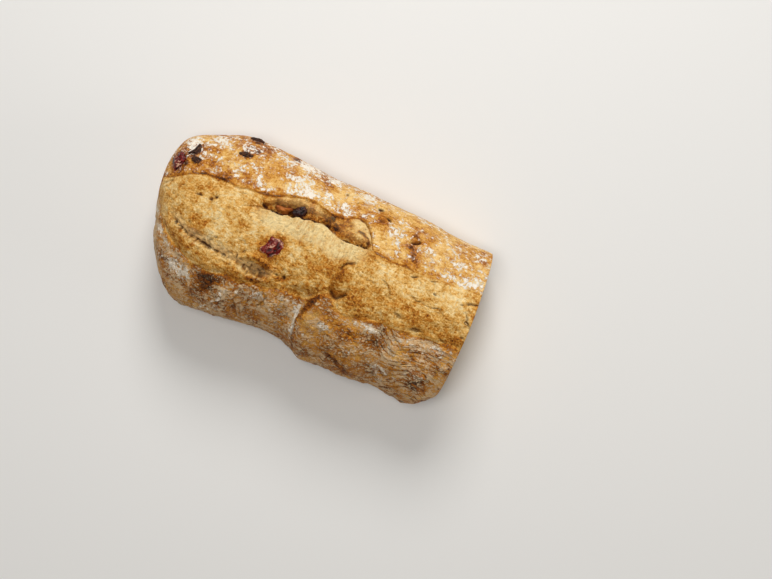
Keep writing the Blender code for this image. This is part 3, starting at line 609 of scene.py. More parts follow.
def ridges_and_fruit(c):
    """Relief of the ridges and of the ragged crust round the fruit, how far they brown it, and painted shade
    round the fruit.
    """
    height, browning_and_contact_shade, shade = np.zeros_like(c.x), np.zeros_like(c.x), np.zeros_like(c.x)
    bent_x, bent_y = c.x + 0.7 * grain(c.p, 2.4, 43), c.y + 0.6 * grain(c.p, 2.2, 44)
    for path, rise, width, darker in STREAKS.values():
        beyond, share = side_of_path(bent_x, bent_y, path)
        mark = bell(beyond, width) * np.clip(12 * share * (1 - share), 0, 1) * c.on_top
        height += rise * mark
        browning_and_contact_shade += darker * mark
    edge, bed = 0.7 * rough(c.p, 2.0, 50, 2), 1.4 * c.crevice * rough(c.p, 2.4, 56, 2)
    for cx, cy, length, width, _, turn, _, _ in OUTSIDE.values():
        held = spot(c.x + 0.5 * grain(c.p, 2, 45), c.y, cx, cy, length * 1.2, width * 1.3, turn)
        height += (edge * bell(held - 0.42, 0.2) - 0.4 * held) * c.on_top + bed * held
        # A darker ring round each fruit, partly a stain of the bake and partly painted contact shade; in the
        # crevice, painted shade beside the fruit
        browning_and_contact_shade += 0.14 * ramp(held, 0.12, 0.5)
        shade = np.maximum(shade, 0.5 * c.crevice * ramp(held, 0.1, 0.4))
    return height, browning_and_contact_shade, shade


def toasted(c, skin, slope):
    """How far each point is browned, from 0 for pale dough to 1 for burnt, before its ridges and fruit:
    mostly the bake, with painted shade in the near flank's creases and on its folds' slopes.
    """
    x, y, p = c.x, c.y, c.p
    blotch = rough(p, 9, 91)
    toast_and_shade = 0.46 - 0.05 * c.torn * (1 - ramp(x, -40, 0)) - 0.02 * c.torn
    toast_and_shade += c.torn * (0.10 * blotch + 0.07 * rough(p, 4, 92))
    ridge = ramp(c.past_near, -1, 1.5) * (1 - ramp(c.crack, -2.0, 0.4)) * c.on_top * (1 - ramp(x, -16, 0))
    toast_and_shade += ridge * (0.08 + 0.10 * rough(p * (0.22, 1, 1), 1.7, 95)) * c.ended
    toast_and_shade += bell(c.far - y - 0.1, 0.42) * c.on_top * along(LIP_TOAST, x) * c.ended
    toast_and_shade += bell(y - c.far - 1.8, 1.8) * c.far_side * c.on_top * 0.12
    toast_and_shade += c.shelf * (1 - c.lobe) * (0.07 + 0.2 * rough(p, 2.6, 93) + 0.06 * ramp(x, -28, -14))
    toast_and_shade += c.crumbly * (0.10 + 0.20 * rough(p, 2.9, 14, 2)) + 0.14 * c.crevice + 0.03 * c.pocket
    # Near flank: browner, with painted shade at the skin's crease feet and on the folds' slopes
    toast_and_shade += c.near_side * (0.20 - 0.05 * skin + 0.08 * blotch + 0.12 * slope)
    toast_and_shade += c.far_side * (0.05 - 0.12 * ramp(x, -30, 30) + 0.08 * blotch)
    bent_x, bent_y = x + 1.6 * grain(p, 4, 37), y + 1.2 * grain(p, 3, 39)
    for cx, cy, length, width, turn, darker in STAINS:
        toast_and_shade += darker * spot(bent_x, bent_y, cx, cy, length, width, turn) * c.on_top
    # Darker towards the base all round, and more so low on the near flank
    return toast_and_shade + (1 - ramp(c.z, 0, 5)) * 0.10 + c.near_side * (1 - ramp(c.z, 4, 16)) * 0.10


def bare_crumb(c, crest, fringe, lobe):
    """Where the torn crumb is pale: beside the deep crack, in the pocket and on the lobe; fold crests are
    pale too, as flour with a painted highlight.
    """
    reach = along(DEEP_EDGE, c.x) - c.y
    pale = ramp(c.x, -38, -24) * (1 - ramp(c.x, 18, 30)) * ramp(reach, -1.5, 0.5)
    pale *= 1 - ramp(reach + 1.6 * rough(c.p, 5, 97), along([(-38, 4), (-10, 8), (5, 9), (28, 4)], c.x), 12)
    fibres = c.pocket * ramp(rough(c.p * (1.7, 0.5, 1), 2.2, 58, 2), -0.1, 0.3)
    pale = 0.6 * fibres + pale * (1 - c.crevice) + 0.5 * crest + 0.9 * fringe
    return np.clip(pale + 0.42 * lobe * (1 + 0.7 * rough(c.p, 2.6, 93)), 0, 1)


def floured(c, slope, crest, lobe, toast_and_shade):
    """How much white flour lies on the crust, and how much is rubbed into it as dust."""
    drift, flank = floury(c.x, c.y, c.far, c.down)
    # Less flour on the folds' slopes, as painted shade
    flank = flank - 0.5 * slope
    low = (0.5 + 0.16 * rough(c.p, 16, 98)) * (1 - c.on_top)
    flour = c.far_side * (drift * c.on_top + low) + c.near_side * flank * c.on_top
    # More flour on the round end and the lobe, and on the folds' crests as flour with a painted highlight
    flour += 0.12 * (1 - c.ended) * c.on_top + 0.6 * crest + 0.34 * lobe
    dust = 0.30 - 0.09 * ramp(c.x, -25, 10) + 0.18 * rough(c.p, 8, 53, 2) + 0.7 * np.clip(flank, -0.3, 0.6)
    dust = c.near_side * dust * (1 - 0.8 * ramp(toast_and_shade, 0.66, 0.9))
    dust += 0.4 * (1 - c.ended) * c.on_top + 0.2 * (1 - c.on_top) * c.far_side
    return flour, dust


def surface(x, y, z):
    """Fine relief of the crust, and the shares of its finishes, at points of the plain outline.

    Returns the height over the outline and a dict of shares from 0 to 1 for the material.
    """
    c = Places(x, y, z)
    skin, fan, short, long = wrinkled_skin(x, y - np.maximum(GIRTH + 6 - z, 0), c.p)
    torn_height, pores = torn_relief(c)
    fold_height, slope, crest = small_folds(c)
    hollow_height, painted_shade = cracks_and_hollows(c, pores)
    ridge_height, browning_and_contact_shade, shade = ridges_and_fruit(c)
    height = torn_height + flank_relief(c, skin, fan) + fold_height + hollow_height + ridge_height
    painted_shade = np.maximum(painted_shade, shade)
    fringe = c.gap_here * bell(c.crack + 0.8, 0.45) * c.torn * ramp(grain(c.p, 1.3, 49), -0.5, 0.3)
    toast_and_shade = browning_and_contact_shade + toasted(c, skin, slope) - 0.12 * fringe
    lobe = c.lobe * (1 - np.clip(3.2 * browning_and_contact_shade, 0, 0.9))
    flour, dust = floured(c, slope, crest, lobe, toast_and_shade)
    shares = {
        "torn": c.torn,
        "near": c.near_side,
        "toast_and_shade": toast_and_shade,
        "pale": bare_crumb(c, crest, fringe, lobe),
        # painted shade in the crust's openings
        "sponge": c.sponge * c.torn,
        "painted_shade": painted_shade,
        "flour": np.clip(flour, 0, 1) * (1 - painted_shade),
        "dust": np.clip(dust, 0, 1) * (1 - c.torn),
        "fan": fan,
        "creased": c.near_side * c.calm * (0.8 * fan + 0.5 * (1 - fan)) * ramp(x, -92, -84),
        "short_length": short[..., 0],
        "short_width": short[..., 1],
        "long_length": long[..., 0],
        "long_width": long[..., 1],
    }
    return height * ramp(x - END_X, 0.5, 6), shares


def floury(x, y, far, down):
    """How much flour lies along the far flank and down the near one."""
    drift = along(FAR_FLOUR, x) + 0.12 * ramp(y, 40, 46) - 0.2 * ramp(far + 2.5 - y, 0, 2.5)
    for cx, cy, length, width, turn, more in FLOUR_PATCHES:
        drift = drift + more * spot(x, y, cx, cy, length, width, turn)
    flank = 0.38 * ramp(down, 0.5, 3)
    for cx, cy, length, width, turn, more in NEAR_PATCHES:
        flank = flank + more * spot(x, y, cx, cy, length, width, turn)
    return drift, flank


def stand_out(x, y, z, relief):
    """Outline points moved out from the loaf's middle line by the relief, with the base kept flat."""
    middle, _, _, _ = section(x)
    from_x = np.maximum(x, END_X + SIDE_REACH)
    out = np.stack([x - from_x, y - middle, z - GIRTH], -1)
    out /= np.maximum(np.linalg.norm(out, axis=-1, keepdims=True), 1)
    moved = np.stack([x, y, z], -1) + out * relief[..., None]
    moved[..., 2] = np.where(z <= 0, 0, np.maximum(moved[..., 2], 0))
    moved[..., 0] += CUT_LEAN * (moved[..., 2] - GIRTH) * ramp(x, CUT_X - 25, CUT_X)
    return moved


def crust_point(x, y):
    """A point of the crust over (x, y), and the direction that it faces."""
    def at(px, py):
        share = share_of_width(px, py)
        crown = section(px)[2]
        z = GIRTH + crown * np.clip(1 - np.abs(share) ** DOME_POWER, 0, 1) ** (1 / DOME_POWER)
        return stand_out(np.array(px), np.array(py), z, main_relief(px, py, z))
    reach = 1.0
    point = at(x, y)
    lengthways = at(x + reach, y) - at(x - reach, y)
    crossways = at(x, y + reach) - at(x, y - reach)
    return Vector(point), Vector(np.cross(lengthways, crossways)).normalized()


def outline_grid():
    """Points of the plain outline, one row for each ring from the tip to the cut."""
    turn = np.linspace(0, math.pi / 2, END_RINGS + 1)[1:]
    end = END_X + (END_RINGS_X - END_X) * (1 - np.cos(turn))
    body = np.linspace(END_RINGS_X, CUT_X, BODY_RINGS + 1)[1:]
    x = np.concatenate([end, body])
    middle, half, crown, under = section(x)
    held = np.maximum(x, EDGE_HOLD_X)
    far = far_lip(held)
    lines = (near_lip(held), along(NEAR_CRACK, held), np.minimum(along(DEEP_EDGE, held), far - 3), far)
    edges = [-np.ones_like(x), *(share_of_width(held, y) for y in lines), np.ones_like(x)]
    angles = [np.arccos(np.sign(e) * np.abs(e) ** (DOME_POWER / 2)) for e in edges]
    bands = [a[:, None] + (b - a)[:, None] * (np.arange(n) / n)
             for a, b, n in zip(angles, angles[1:], TOP_COLUMNS)]
    top = np.concatenate(bands, axis=1)
    low = np.linspace(0, math.pi, UNDER_COLUMNS + 1)[:-1][None, :] * np.ones((len(x), 1))
    top_y = np.sign(np.cos(top)) * np.abs(np.cos(top)) ** (2 / DOME_POWER)
    low_y = np.sign(np.cos(low)) * np.abs(np.cos(low)) ** (2 / UNDER_POWER)
    top_z = GIRTH + crown[:, None] * np.abs(np.sin(top)) ** (2 / DOME_POWER)
    low_z = np.maximum(GIRTH - under[:, None] * np.abs(np.sin(low)) ** (2 / UNDER_POWER), 0)
    y = middle[:, None] + half[:, None] * np.concatenate([top_y, low_y], axis=1)
    z = np.concatenate([top_z, low_z], axis=1)
    return x[:, None] * np.ones_like(y), y, z


def mesh_object(name, points, faces, shares=None):
    """Smooth-shaded object from points in millimetres, with float attributes on its points."""
    mesh = bpy.data.meshes.new(name)
    mesh.from_pydata((np.asarray(points) * MM).tolist(), [], faces)
    mesh.update()
    for key, values in (shares or {}).items():
        layer = mesh.attributes.new(key, "FLOAT", "POINT")
        layer.data.foreach_set("value", np.asarray(values, np.float32).ravel())
    mesh.shade_smooth()
    made = bpy.data.objects.new(name, mesh)
    bpy.context.scene.collection.objects.link(made)
    return made


def ring_faces(start_a, start_b, count):
    """Quads between two rings of points."""
    k = np.arange(count)
    before = (k - 1) % count
    return np.stack([start_a + before, start_a + k, start_b + k, start_b + before], 1).tolist()


def make_crust():
    """The whole crust, with a rim round the cut and a recess that the crumb fills."""
    x, y, z = outline_grid()
    fine, shares = surface(x, y, z)
    at_cut = 1 - 0.6 * ramp(x, CUT_X - 3, CUT_X)
    points = stand_out(x, y, z, main_relief(x, y, z) + fine * at_cut)
    rows, columns = x.shape
    last = points[-1]
    middle = np.array([CUT_X, section(CUT_X)[0], GIRTH])
    inward = middle - last
    inward /= np.linalg.norm(inward, axis=1, keepdims=True)
    inner = last + inward * RIM
    inner[:, 0] = CUT_X + CUT_LEAN * (inner[:, 2] - GIRTH)
    back = inner - (RECESS, 0, 0)
    tip = np.array([[END_X, section(END_X)[0], GIRTH]])
    everything = np.concatenate([points.reshape(-1, 3), inner, back, tip])
    faces = []
    for row in range(rows + 1):
        faces += ring_faces(row * columns, (row + 1) * columns, columns)
    tip_index = len(everything) - 1
    k = np.arange(columns)
    faces += np.stack([np.full(columns, tip_index), k, (k - 1) % columns], 1).tolist()
    faces.append([(rows + 1) * columns + int(i) for i in k])
    values = {}
    for key, share in shares.items():
        ends = np.tile(share[-1], 2)
        values[key] = np.concatenate([share.ravel(), ends, [share[0].mean()]])
    crust = mesh_object("loaf_crust", everything, faces, values)
    return crust, inner


def half_way(inner):
    """Height of the top and of the bottom of the inner outline of the cut, over y."""
    count = sum(TOP_COLUMNS)
    order = np.argsort(inner[:count, 1])
    top = (inner[:count, 1][order], inner[:count, 2][order])
    low = np.concatenate([inner[count:], inner[:1]])
    order = np.argsort(low[:, 1])
    return top, (low[:, 1][order], low[:, 2][order])


def fruit_in_cut(y, z, name, swell):
    """1 inside the outline of a fruit or nut in the cut face, swollen by a margin."""
    cy, cz, length, width, turn, bend, _ = CUT_FACE[name]
    c, s = math.cos(math.radians(turn)), math.sin(math.radians(turn))
    u = ((y - cy) * c + (z - cz) * s) / (length / 2 + swell)
    v = (z - cz) * c - (y - cy) * s - bend * (2 * np.clip(np.abs(u), 0, 1) ** 2 - 0.6)
    return u * u + (v / (width / 2 + swell)) ** 2


def make_crumb(inner):
    """The cut crumb: a plug in the crust's recess, with open pores in its face."""
    (top_y, top_z), (low_y, low_z) = half_way(inner)
    low_end, high_end = top_y.min() + 0.25, top_y.max() - 0.25
    turn = np.linspace(-math.pi / 2, math.pi / 2, CRUMB_COLUMNS)
    spread = 0.55 * np.sin(turn) + 0.45 * turn / (math.pi / 2)
    y = ((low_end + high_end) / 2 + (high_end - low_end) / 2 * spread)[:, None] * np.ones((1, CRUMB_ROWS))
    bottom = np.interp(y, low_y, low_z) - 0.12
    top = np.interp(y, top_y, top_z) + 0.12
    z = bottom + (top - bottom) * np.linspace(0, 1, CRUMB_ROWS)[None, :]
    p = np.stack([y, z, 0 * y], -1)
    from_edge = np.minimum(np.minimum(z - bottom, top - z), np.minimum(y - low_end, high_end - y) * 1.5)

    chance = np.random.default_rng(5)
    depth = 0.10 * rough(p, 1.3, 101, 2) + 0.22 * rough(p, 5, 103, 2)
    pore = np.zeros_like(y)
    middle_y = section(CUT_X)[0]
    for _ in range(PORES):
        cy = chance.uniform(low_end + 1.5, high_end - 1.5)
        cz = chance.uniform(2, 56)
        size = 0.34 * (1 - chance.random()) ** -0.36
        size = min(size, 2.1) * (0.8 + 0.3 * (cz > 30))
        long = size * chance.uniform(1.0, 2.0)
        flow_turn = math.atan2(-(cy - middle_y) * 0.8, cz + 4) + chance.normal(0, 0.5)
        bury = min(size, 1.2) * chance.uniform(0.7, 1.3)
        c, s = math.cos(flow_turn), math.sin(flow_turn)
        u = ((y - cy) * c + (z - cz) * s) / long
        v = ((z - cz) * c - (y - cy) * s) / size
        r2 = (u * u + v * v) * (1 + 0.35 * np.sin(3 * np.arctan2(v, u) + cy))
        cup = np.sqrt(np.clip(1 - r2, 0, 1))
        pore = np.maximum(pore, bury * cup)
    pore *= ramp(from_edge, 0.4, 1.6)
    stain = np.zeros_like(y)
    inside = np.zeros_like(y)
    for name in CUT_FACE:
        held = fruit_in_cut(y, z, name, 0.1)
        pore *= ramp(held, 1.0, 1.5)
        inside = np.maximum(inside, 1 - ramp(held, 0.72, 1.04))
        if "cranberry" in name:
            stain = np.maximum(stain, 1 - ramp(fruit_in_cut(y, z, name, 1.0), 0.7, 1.5))
    depth = depth * ramp(from_edge, 0, 0.8) + pore + 2.0 * inside
    face = np.stack([CUT_X + CUT_LEAN * (z - GIRTH) - 0.06 - depth, y, z], -1)

    number = np.arange(face.shape[0] * face.shape[1]).reshape(face.shape[:2])
    corners = [number[:-1, :-1], number[1:, :-1], number[1:, 1:], number[:-1, 1:]]
    faces = np.stack(corners, -1).reshape(-1, 4).tolist()
    loop = np.concatenate([number[:-1, 0], number[-1, :-1], number[:0:-1, -1], number[0, :0:-1]])
    back = face.reshape(-1, 3)[loop].copy()
    back[:, 0] = CUT_X + CUT_LEAN * (back[:, 2] - GIRTH) - RECESS + 0.2
    first = number.size
    faces += ring_faces_open(loop, first)
    faces.append([first + int(i) for i in range(len(loop))][::-1])
    points = np.concatenate([face.reshape(-1, 3), back])
    pad = np.zeros(len(loop))
    shares = {
        "rim": np.concatenate([(1 - ramp(from_edge, 0.0, 2.6)).ravel(), pad]),
        "pore": np.concatenate([np.clip(pore / 1.3, 0, 1).ravel(), pad]),
        "stain": np.concatenate([stain.ravel(), pad]),
    }
    return mesh_object("crumb", points, faces, shares)


def ring_faces_open(loop, first):
    """Quads from a loop of point numbers back to the new points that start at first."""
    count = len(loop)
    return [[int(loop[(k + 1) % count]), int(loop[k]), first + k, first + (k + 1) % count]
            for k in range(count)]


def shrivelled(size, bend, seed, crease, fineness):
    """Dried fruit or a nut about its own middle: points, faces, height of the creases and directions."""
    bm = bmesh.new()
    bmesh.ops.create_icosphere(bm, subdivisions=fineness, radius=1)
    d = np.array([v.co[:] for v in bm.verts])
    faces = [[v.index for v in f.verts] for f in bm.faces]
    bm.free()
    drift = np.stack([grain(d, 0.7, seed + 9 + k) for k in range(3)], -1)
    folds = creased(d + 0.3 * drift, 0.36, seed, 2)
    swell = 1 + 0.7 * crease * (folds - 0.3) + 1.2 * crease * rough(d, 0.9, seed + 5, 2)
    p = d * swell[:, None] * np.array(size) / 2
    p[:, 1] += bend * (2 * d[:, 0] ** 2 - 0.6)
    return p, faces, folds, d


def set_in_crust(x, y, turn, rise):
    """Place of a lump whose middle stands by rise over the crust, turned about the crust's normal."""
    point, facing = crust_point(x, y)
    side = Matrix.Rotation(math.radians(turn), 3, facing) @ Vector((1, 0, 0))
    side = (side - facing * side.dot(facing)).normalized()
    axes = Matrix((side, facing.cross(side), facing)).transposed().to_4x4()
    return Matrix.Translation(point + facing * rise) @ axes


def set_in_cut(y, z, turn):
    """Place of a lump whose middle lies on the cut face, its length turned up from +Y."""
    lean = Vector((1, 0, -CUT_LEAN)).normalized()
    side = Matrix.Rotation(math.radians(turn), 3, lean) @ Vector((0, 1, 0))
    axes = Matrix((side, lean.cross(side), lean)).transposed().to_4x4()
    return Matrix.Translation((CUT_X + CUT_LEAN * (z - GIRTH), y, z)) @ axes


def placed(points, place):
    """Points turned and moved by a matrix in millimetres."""
    turned = np.array(place.to_3x3())
    return points @ turned.T + np.array(place.translation)


def fruit_object(name, points, faces, folds, directions):
    """Object of a fruit or nut, with how high its creases are and how far its core is."""
    shares = {"fold": folds, "core": np.linalg.norm(directions[:, :2], axis=1)}
    return mesh_object(name + "_fruit", points, faces, shares)


def make_outer_fruit(name):
    """Fruit or nut that shows in the crust."""
    x, y, length, width, height, turn, rise, bend = OUTSIDE[name]
    seed = sum(map(ord, name))
    crease = 0.46 if "nut" in name else 0.28
    fineness = 6 if name == "cranberry_top" else 5
    points, faces, folds, d = shrivelled((length, width, height), bend, seed, crease, fineness)
    points = placed(points, set_in_crust(x, y, turn, rise))
    return fruit_object(name, points, faces, folds, d)


def make_cut_fruit(name):
    """Fruit or nut that the knife went through, flat on the cut face."""
    y, z, length, width, turn, bend, depth = CUT_FACE[name]
    seed = sum(map(ord, name))
    dried = "cranberry" in name or "raisin" in name
    points, faces, folds, d = shrivelled((length, width, 2 * depth), bend, seed, 0.09 if dried else 0.05, 5)
    above = np.maximum(points[:, 2], 0)
    points[:, 2] = np.minimum(points[:, 2], 0) + 0.04 * above + 0.12
    if dried:
        points[:, 2] += 0.16 * rough(d * (1, 1, 0), 0.5, seed, 2) * (above > 0)
    points = placed(points, set_in_cut(y, z, turn))
    return fruit_object(name, points, faces, folds, d)


class Number:
    """A node socket that ordinary arithmetic works on: each operator adds its Math node."""

    def __init__(self, nodes, socket):
        self.nodes = nodes
        self.socket = socket

    def maths(self, operation, first, second=None, clamp=False):
        made = self.nodes.add("ShaderNodeMath", {"operation": operation, "use_clamp": clamp},
                              {0: first} if second is None else {0: first, 1: second})
        return Number(self.nodes, made.outputs[0])

    def __add__(self, other):
        return self.maths("ADD", self, other)

    def __sub__(self, other):
        return self.maths("SUBTRACT", self, other)

    def __rsub__(self, other):
        return self.maths("SUBTRACT", other, self)

    def __mul__(self, other):
        return self.maths("MULTIPLY", self, other)

    __radd__ = __add__
    __rmul__ = __mul__

    def swing(self, amount):
        """A noise about 0 instead of its middle, scaled."""
        return (self - 0.5) * amount

    def over(self, low, high):
        """0 below low, 1 above high, smooth between."""
        made = self.nodes.add("ShaderNodeMapRange", {"interpolation_type": "SMOOTHSTEP", "clamp": True},
                              {"Value": self, "From Min": low, "From Max": high})
        return Number(self.nodes, made.outputs["Result"])

    def size(self):
        """The value without its sign."""
        return self.maths("ABSOLUTE", self)

    def held(self):
        """The value kept between 0 and 1."""
        return self.maths("ADD", self, 0.0, clamp=True)


class Nodes:
    """A node tree that nodes are added to."""

    def __init__(self, tree):
        self.tree = tree

    def add(self, kind, settings=None, inputs=None):
        """A node of a type, with its settings made first and then its sockets set or linked."""
        made = self.tree.nodes.new(kind)
        for key, value in (settings or {}).items():
            if key == "stops":
                self.set_stops(made.color_ramp, value)
            else:
                setattr(made, key, value)
        for key, value in (inputs or {}).items():
            if isinstance(value, Number):
                value = value.socket
            if isinstance(value, bpy.types.NodeSocket):
                self.tree.links.new(value, made.inputs[key])
            else:
                made.inputs[key].default_value = value
        return made

    @staticmethod
    def set_stops(colour_ramp, stops):
        while len(colour_ramp.elements) > 1:
            colour_ramp.elements.remove(colour_ramp.elements[-1])
        for k, (place, colour) in enumerate(stops):
            stop = colour_ramp.elements[0] if k == 0 else colour_ramp.elements.new(place)
            stop.position = place
            stop.color = colour

    def share(self, name):
        """A float attribute of the mesh, in a material."""
        return Number(self, self.add("ShaderNodeAttribute", {"attribute_name": name}).outputs["Fac"])

    def noise(self, vector, scale, detail=3.0, roughness=0.55, distortion=0.0):
        made = self.add("ShaderNodeTexNoise", {}, {"Vector": vector, "Scale": scale, "Detail": detail,
                                                   "Roughness": roughness, "Distortion": distortion})
        return Number(self, made.outputs["Fac"])

    def mix(self, under, over, factor):
        """One colour over another."""
        made = self.add("ShaderNodeMix", {"data_type": "RGBA"}, {0: factor, 6: under, 7: over})
        return made.outputs[2]


class Finish(Nodes):
    """A material with a Principled shader, read in object coordinates."""

    def __init__(self, name):
        self.material = bpy.data.materials.new(name)
        self.material.use_nodes = True
        super().__init__(self.material.node_tree)
        self.shader = self.tree.nodes["Principled BSDF"]
        self.place = self.add("ShaderNodeTexCoord").outputs["Object"]

    def set(self, **values):
        """Sets or links the shader's sockets."""
        for key, value in values.items():
            socket = self.shader.inputs[key.replace("_", " ").title().replace("Ior", "IOR")]
            if isinstance(value, Number):
                value = value.socket
            if isinstance(value, bpy.types.NodeSocket):
                self.tree.links.new(value, socket)
            else:
                socket.default_value = value

    def bump(self, *layers):
        """Stacks bumps of (height, distance in metres) on the shader's normal."""
        normal = None
        for height, distance in layers:
            inputs = {"Height": height, "Distance": distance}
            if normal is not None:
                inputs["Normal"] = normal
            normal = self.add("ShaderNodeBump", {}, inputs).outputs["Normal"]
        self.set(normal=normal)


def tint(red, green, blue):
    """Linear colour from one as seen on a screen, 0 to 255."""
    def linear(v):
        v /= 255
        return v / 12.92 if v <= 0.04045 else ((v + 0.055) / 1.055) ** 2.4
    return (linear(red), linear(green), linear(blue), 1.0)


# Colours of the bake
BAKE = [(0.0, tint(254, 226, 168)), (0.25, tint(240, 193, 114)), (0.42, tint(218, 160, 74)),
        (0.56, tint(196, 126, 34)), (0.7, tint(162, 90, 10)), (0.85, tint(108, 55, 6)),
        (1.0, tint(48, 24, 6))]
FLOUR = tint(252, 243, 228)
DUST = tint(230, 197, 150)
TORN_PALE = tint(247, 218, 156)
SPONGE = tint(250, 208, 144)
# Colour of the shade painted into the crust's openings
PAINTED_SHADE = tint(64, 26, 3)
CRUMB = [(0.0, tint(198, 140, 72)), (0.5, tint(243, 200, 134)), (1.0, tint(254, 226, 168))]


def flour_pattern(nodes, vector, amount):
    """Where flour lies: crisp flecks in loose drifts, over an amount from 0 to 1."""
    flecks = nodes.noise(vector, 560.0, 4.0, 0.64, 0.3)
    drifts = nodes.noise(vector, 130.0, 3.0, 0.5)
    return flecks * 0.64 + drifts * 0.36 + amount * 0.34


def creases(f, length, width, stretch, size):
    """Thin feet of a skin's creases and the thin crests beside them, in lengths along and across."""
    flow = f.add("ShaderNodeCombineXYZ", {}, {"X": f.share(length) * stretch, "Y": f.share(width)})
    flow = flow.outputs["Vector"]
    lumps = f.noise(flow, 1 / size, 2.0, 0.5, 0.3) * 2 - 1
    foot = (1 - lumps.size() * 9.0).over(0.0, 1.0)
    crest = (1 - (lumps - 0.17).size() * 11.0).over(0.0, 1.0)
    return foot, crest


def crust_finish():
    f = Finish("baked crust")
    torn, toast_and_shade, pale, painted_shade, sponge = (f.share(n) for n in ("torn", "toast_and_shade", "pale", "painted_shade", "sponge"))
    flour, dust, near, fan = (f.share(n) for n in ("flour", "dust", "near", "fan"))
    broad = f.noise(f.place, 70.0, 2.0)
    mottle = f.noise(f.place, 280.0, 4.0, 0.62)
    drawn_out = f.add("ShaderNodeVectorMath", {"operation": "MULTIPLY"}, {0: f.place, 1: (0.45, 1.0, 0.8)})
    fleck = f.noise(drawn_out.outputs["Vector"], 680.0, 3.0, 0.62, 0.4)
    fine = f.noise(f.place, 1000.0, 3.0, 0.62)
    grains = f.noise(f.place, 1900.0, 2.0, 0.6)
    short, short_crest = creases(f, "short_length", "short_width", 0.6, 2.8)
    long, long_crest = creases(f, "long_length", "long_width", 0.16, 2.5)
    broken = f.noise(f.place, 130.0, 2.0).over(0.34, 0.58)
    shown = f.share("creased") * (broken * 0.8 + 0.2)
    crease = (short * (1 - fan) + long * fan) * shown
    crest = (short_crest * (1 - fan) + long_crest * fan) * shown
    fibre_place = f.add("ShaderNodeVectorMath", {"operation": "MULTIPLY"}, {0: f.place, 1: (1.0, 0.22, 0.3)})
    fibres = f.noise(fibre_place.outputs["Vector"], 1100.0, 3.0, 0.6, 0.3)
    films = (1 - (f.noise(f.place, 330.0, 3.0, 0.55, 0.6) * 2 - 1).size() * 7.0).over(0.0, 1.0) * torn
    # Less flour in the creases' feet, part of their painted shade
    pattern = flour_pattern(f, f.place, flour) - crease * near * 0.03
    white = pattern.over(0.752, 0.772)
    haze = pattern.over(0.66, 0.77)
    browned_and_shaded = toast_and_shade + mottle.swing(0.62) + fleck.swing(0.72) + fine.swing(0.9)
    browned_and_shaded = browned_and_shaded + (fibres - 0.5) * torn * 0.3 + broad.swing(0.8) - haze * 0.10 - films * 0.16
    # Painted shade in the creases' feet and a painted highlight on their crests
    browned_and_shaded = browned_and_shaded + crease * 0.14 - crest * 0.08
    colour = f.add("ShaderNodeValToRGB", {"stops": BAKE}, {"Fac": browned_and_shaded}).outputs["Color"]
    streaked = 0.72 + mottle.swing(2.0) + fibres.swing(2.4) + fine.swing(1.0)
    colour = f.mix(colour, TORN_PALE, (pale * streaked).held())
    colour = f.mix(colour, SPONGE, (sponge * (0.66 + fine.swing(2.0))).held())
    dust_shade_and_highlight = dust * 0.95 + fleck.swing(2.2) + mottle.swing(1.5) + fine.swing(2.0)
    # Less dust in the creases' feet and more on their crests: painted shade and painted highlight
    dust_shade_and_highlight = (dust_shade_and_highlight - crease * 0.5 + crest * 0.35).over(0.2, 0.8)
    colour = f.mix(colour, DUST, dust_shade_and_highlight * dust.over(0.0, 0.25) * 0.85)
    flour_colour = f.mix(FLOUR, DUST, near * 0.35)
    colour = f.mix(colour, flour_colour, (white * 0.94 + haze * 0.16 * (1 - white)).held())
    # Painted shade in the crust's openings
    colour = f.mix(colour, PAINTED_SHADE, (painted_shade * (1.05 - grains.swing(1.2))).held())
    f.set(base_color=colour, roughness=(0.70 + 0.2 * white + 0.1 * dust_shade_and_highlight - 0.08 * torn).held())
    f.set(specular_ior_level=0.22)
    f.bump((mottle, 0.0009), (fleck, 0.0007), (fibres * pale, 0.0004), (films, 0.0002),
           (crest - crease, 0.0005), (fine, 0.0007), (grains, 0.0002), (white, 0.0002))
    return f.material


def crumb_finish():
    f = Finish("open crumb")
    rim, pore, stain = (f.share(n) for n in ("rim", "pore", "stain"))
    cells = f.noise(f.place, 420.0, 3.0, 0.6)
    fine = f.noise(f.place, 1300.0, 3.0, 0.6)
    # Darker in the pores, here and in the brown mix below: painted shade in the holes
    value = 0.66 + cells.swing(0.9) + fine.swing(0.7) - pore * 0.35
    colour = f.add("ShaderNodeValToRGB", {"stops": CRUMB}, {"Fac": value}).outputs["Color"]
    colour = f.mix(colour, tint(160, 112, 60), (pore * pore * 0.7).held())
    colour = f.mix(colour, tint(206, 146, 70), (rim * rim * 0.85).held())
    colour = f.mix(colour, tint(190, 112, 88), (stain * (cells - 0.2) * 0.9).held())
    f.set(base_color=colour, roughness=0.82, specular_ior_level=0.25)
    small = f.noise(f.place, 900.0, 2.0, 0.5).over(0.52, 0.36)
    f.bump((small, -0.0005), (fine, 0.0003))
    return f.material


def fruit_finish(name, deep, bright, bloom, bloom_share, roughness, coat):
    """Dried fruit: dark in its folds, partly its own colour and partly painted shade, with a dry bloom on
    its crests.
    """
    f = Finish(name)
    fold = f.share("fold")
    mottle = f.noise(f.place, 500.0, 3.0, 0.6)
    # Deep in the folds and bright on the crests: the fruit's colour with painted shade in its folds
    colour = f.mix(deep, bright, (fold * 0.6 + mottle.swing(2.2) + 0.15).held())
    streaks = f.noise(f.place, 900.0, 3.0, 0.6, 0.8)
    patch = f.noise(f.place, 190.0, 2.0)
    dry = ((fold + mottle.swing(2.4) + streaks.swing(2.0) + patch.swing(3.0)) * 0.8).over(0.55, 1.0)
    colour = f.mix(colour, bloom, dry * bloom_share)
    f.set(base_color=colour, roughness=(roughness + dry * 0.3).held(), specular_ior_level=0.25)
    f.set(coat_weight=coat, coat_roughness=0.2)
    f.bump((streaks, 0.0004), (mottle, 0.0006))
    return f.material


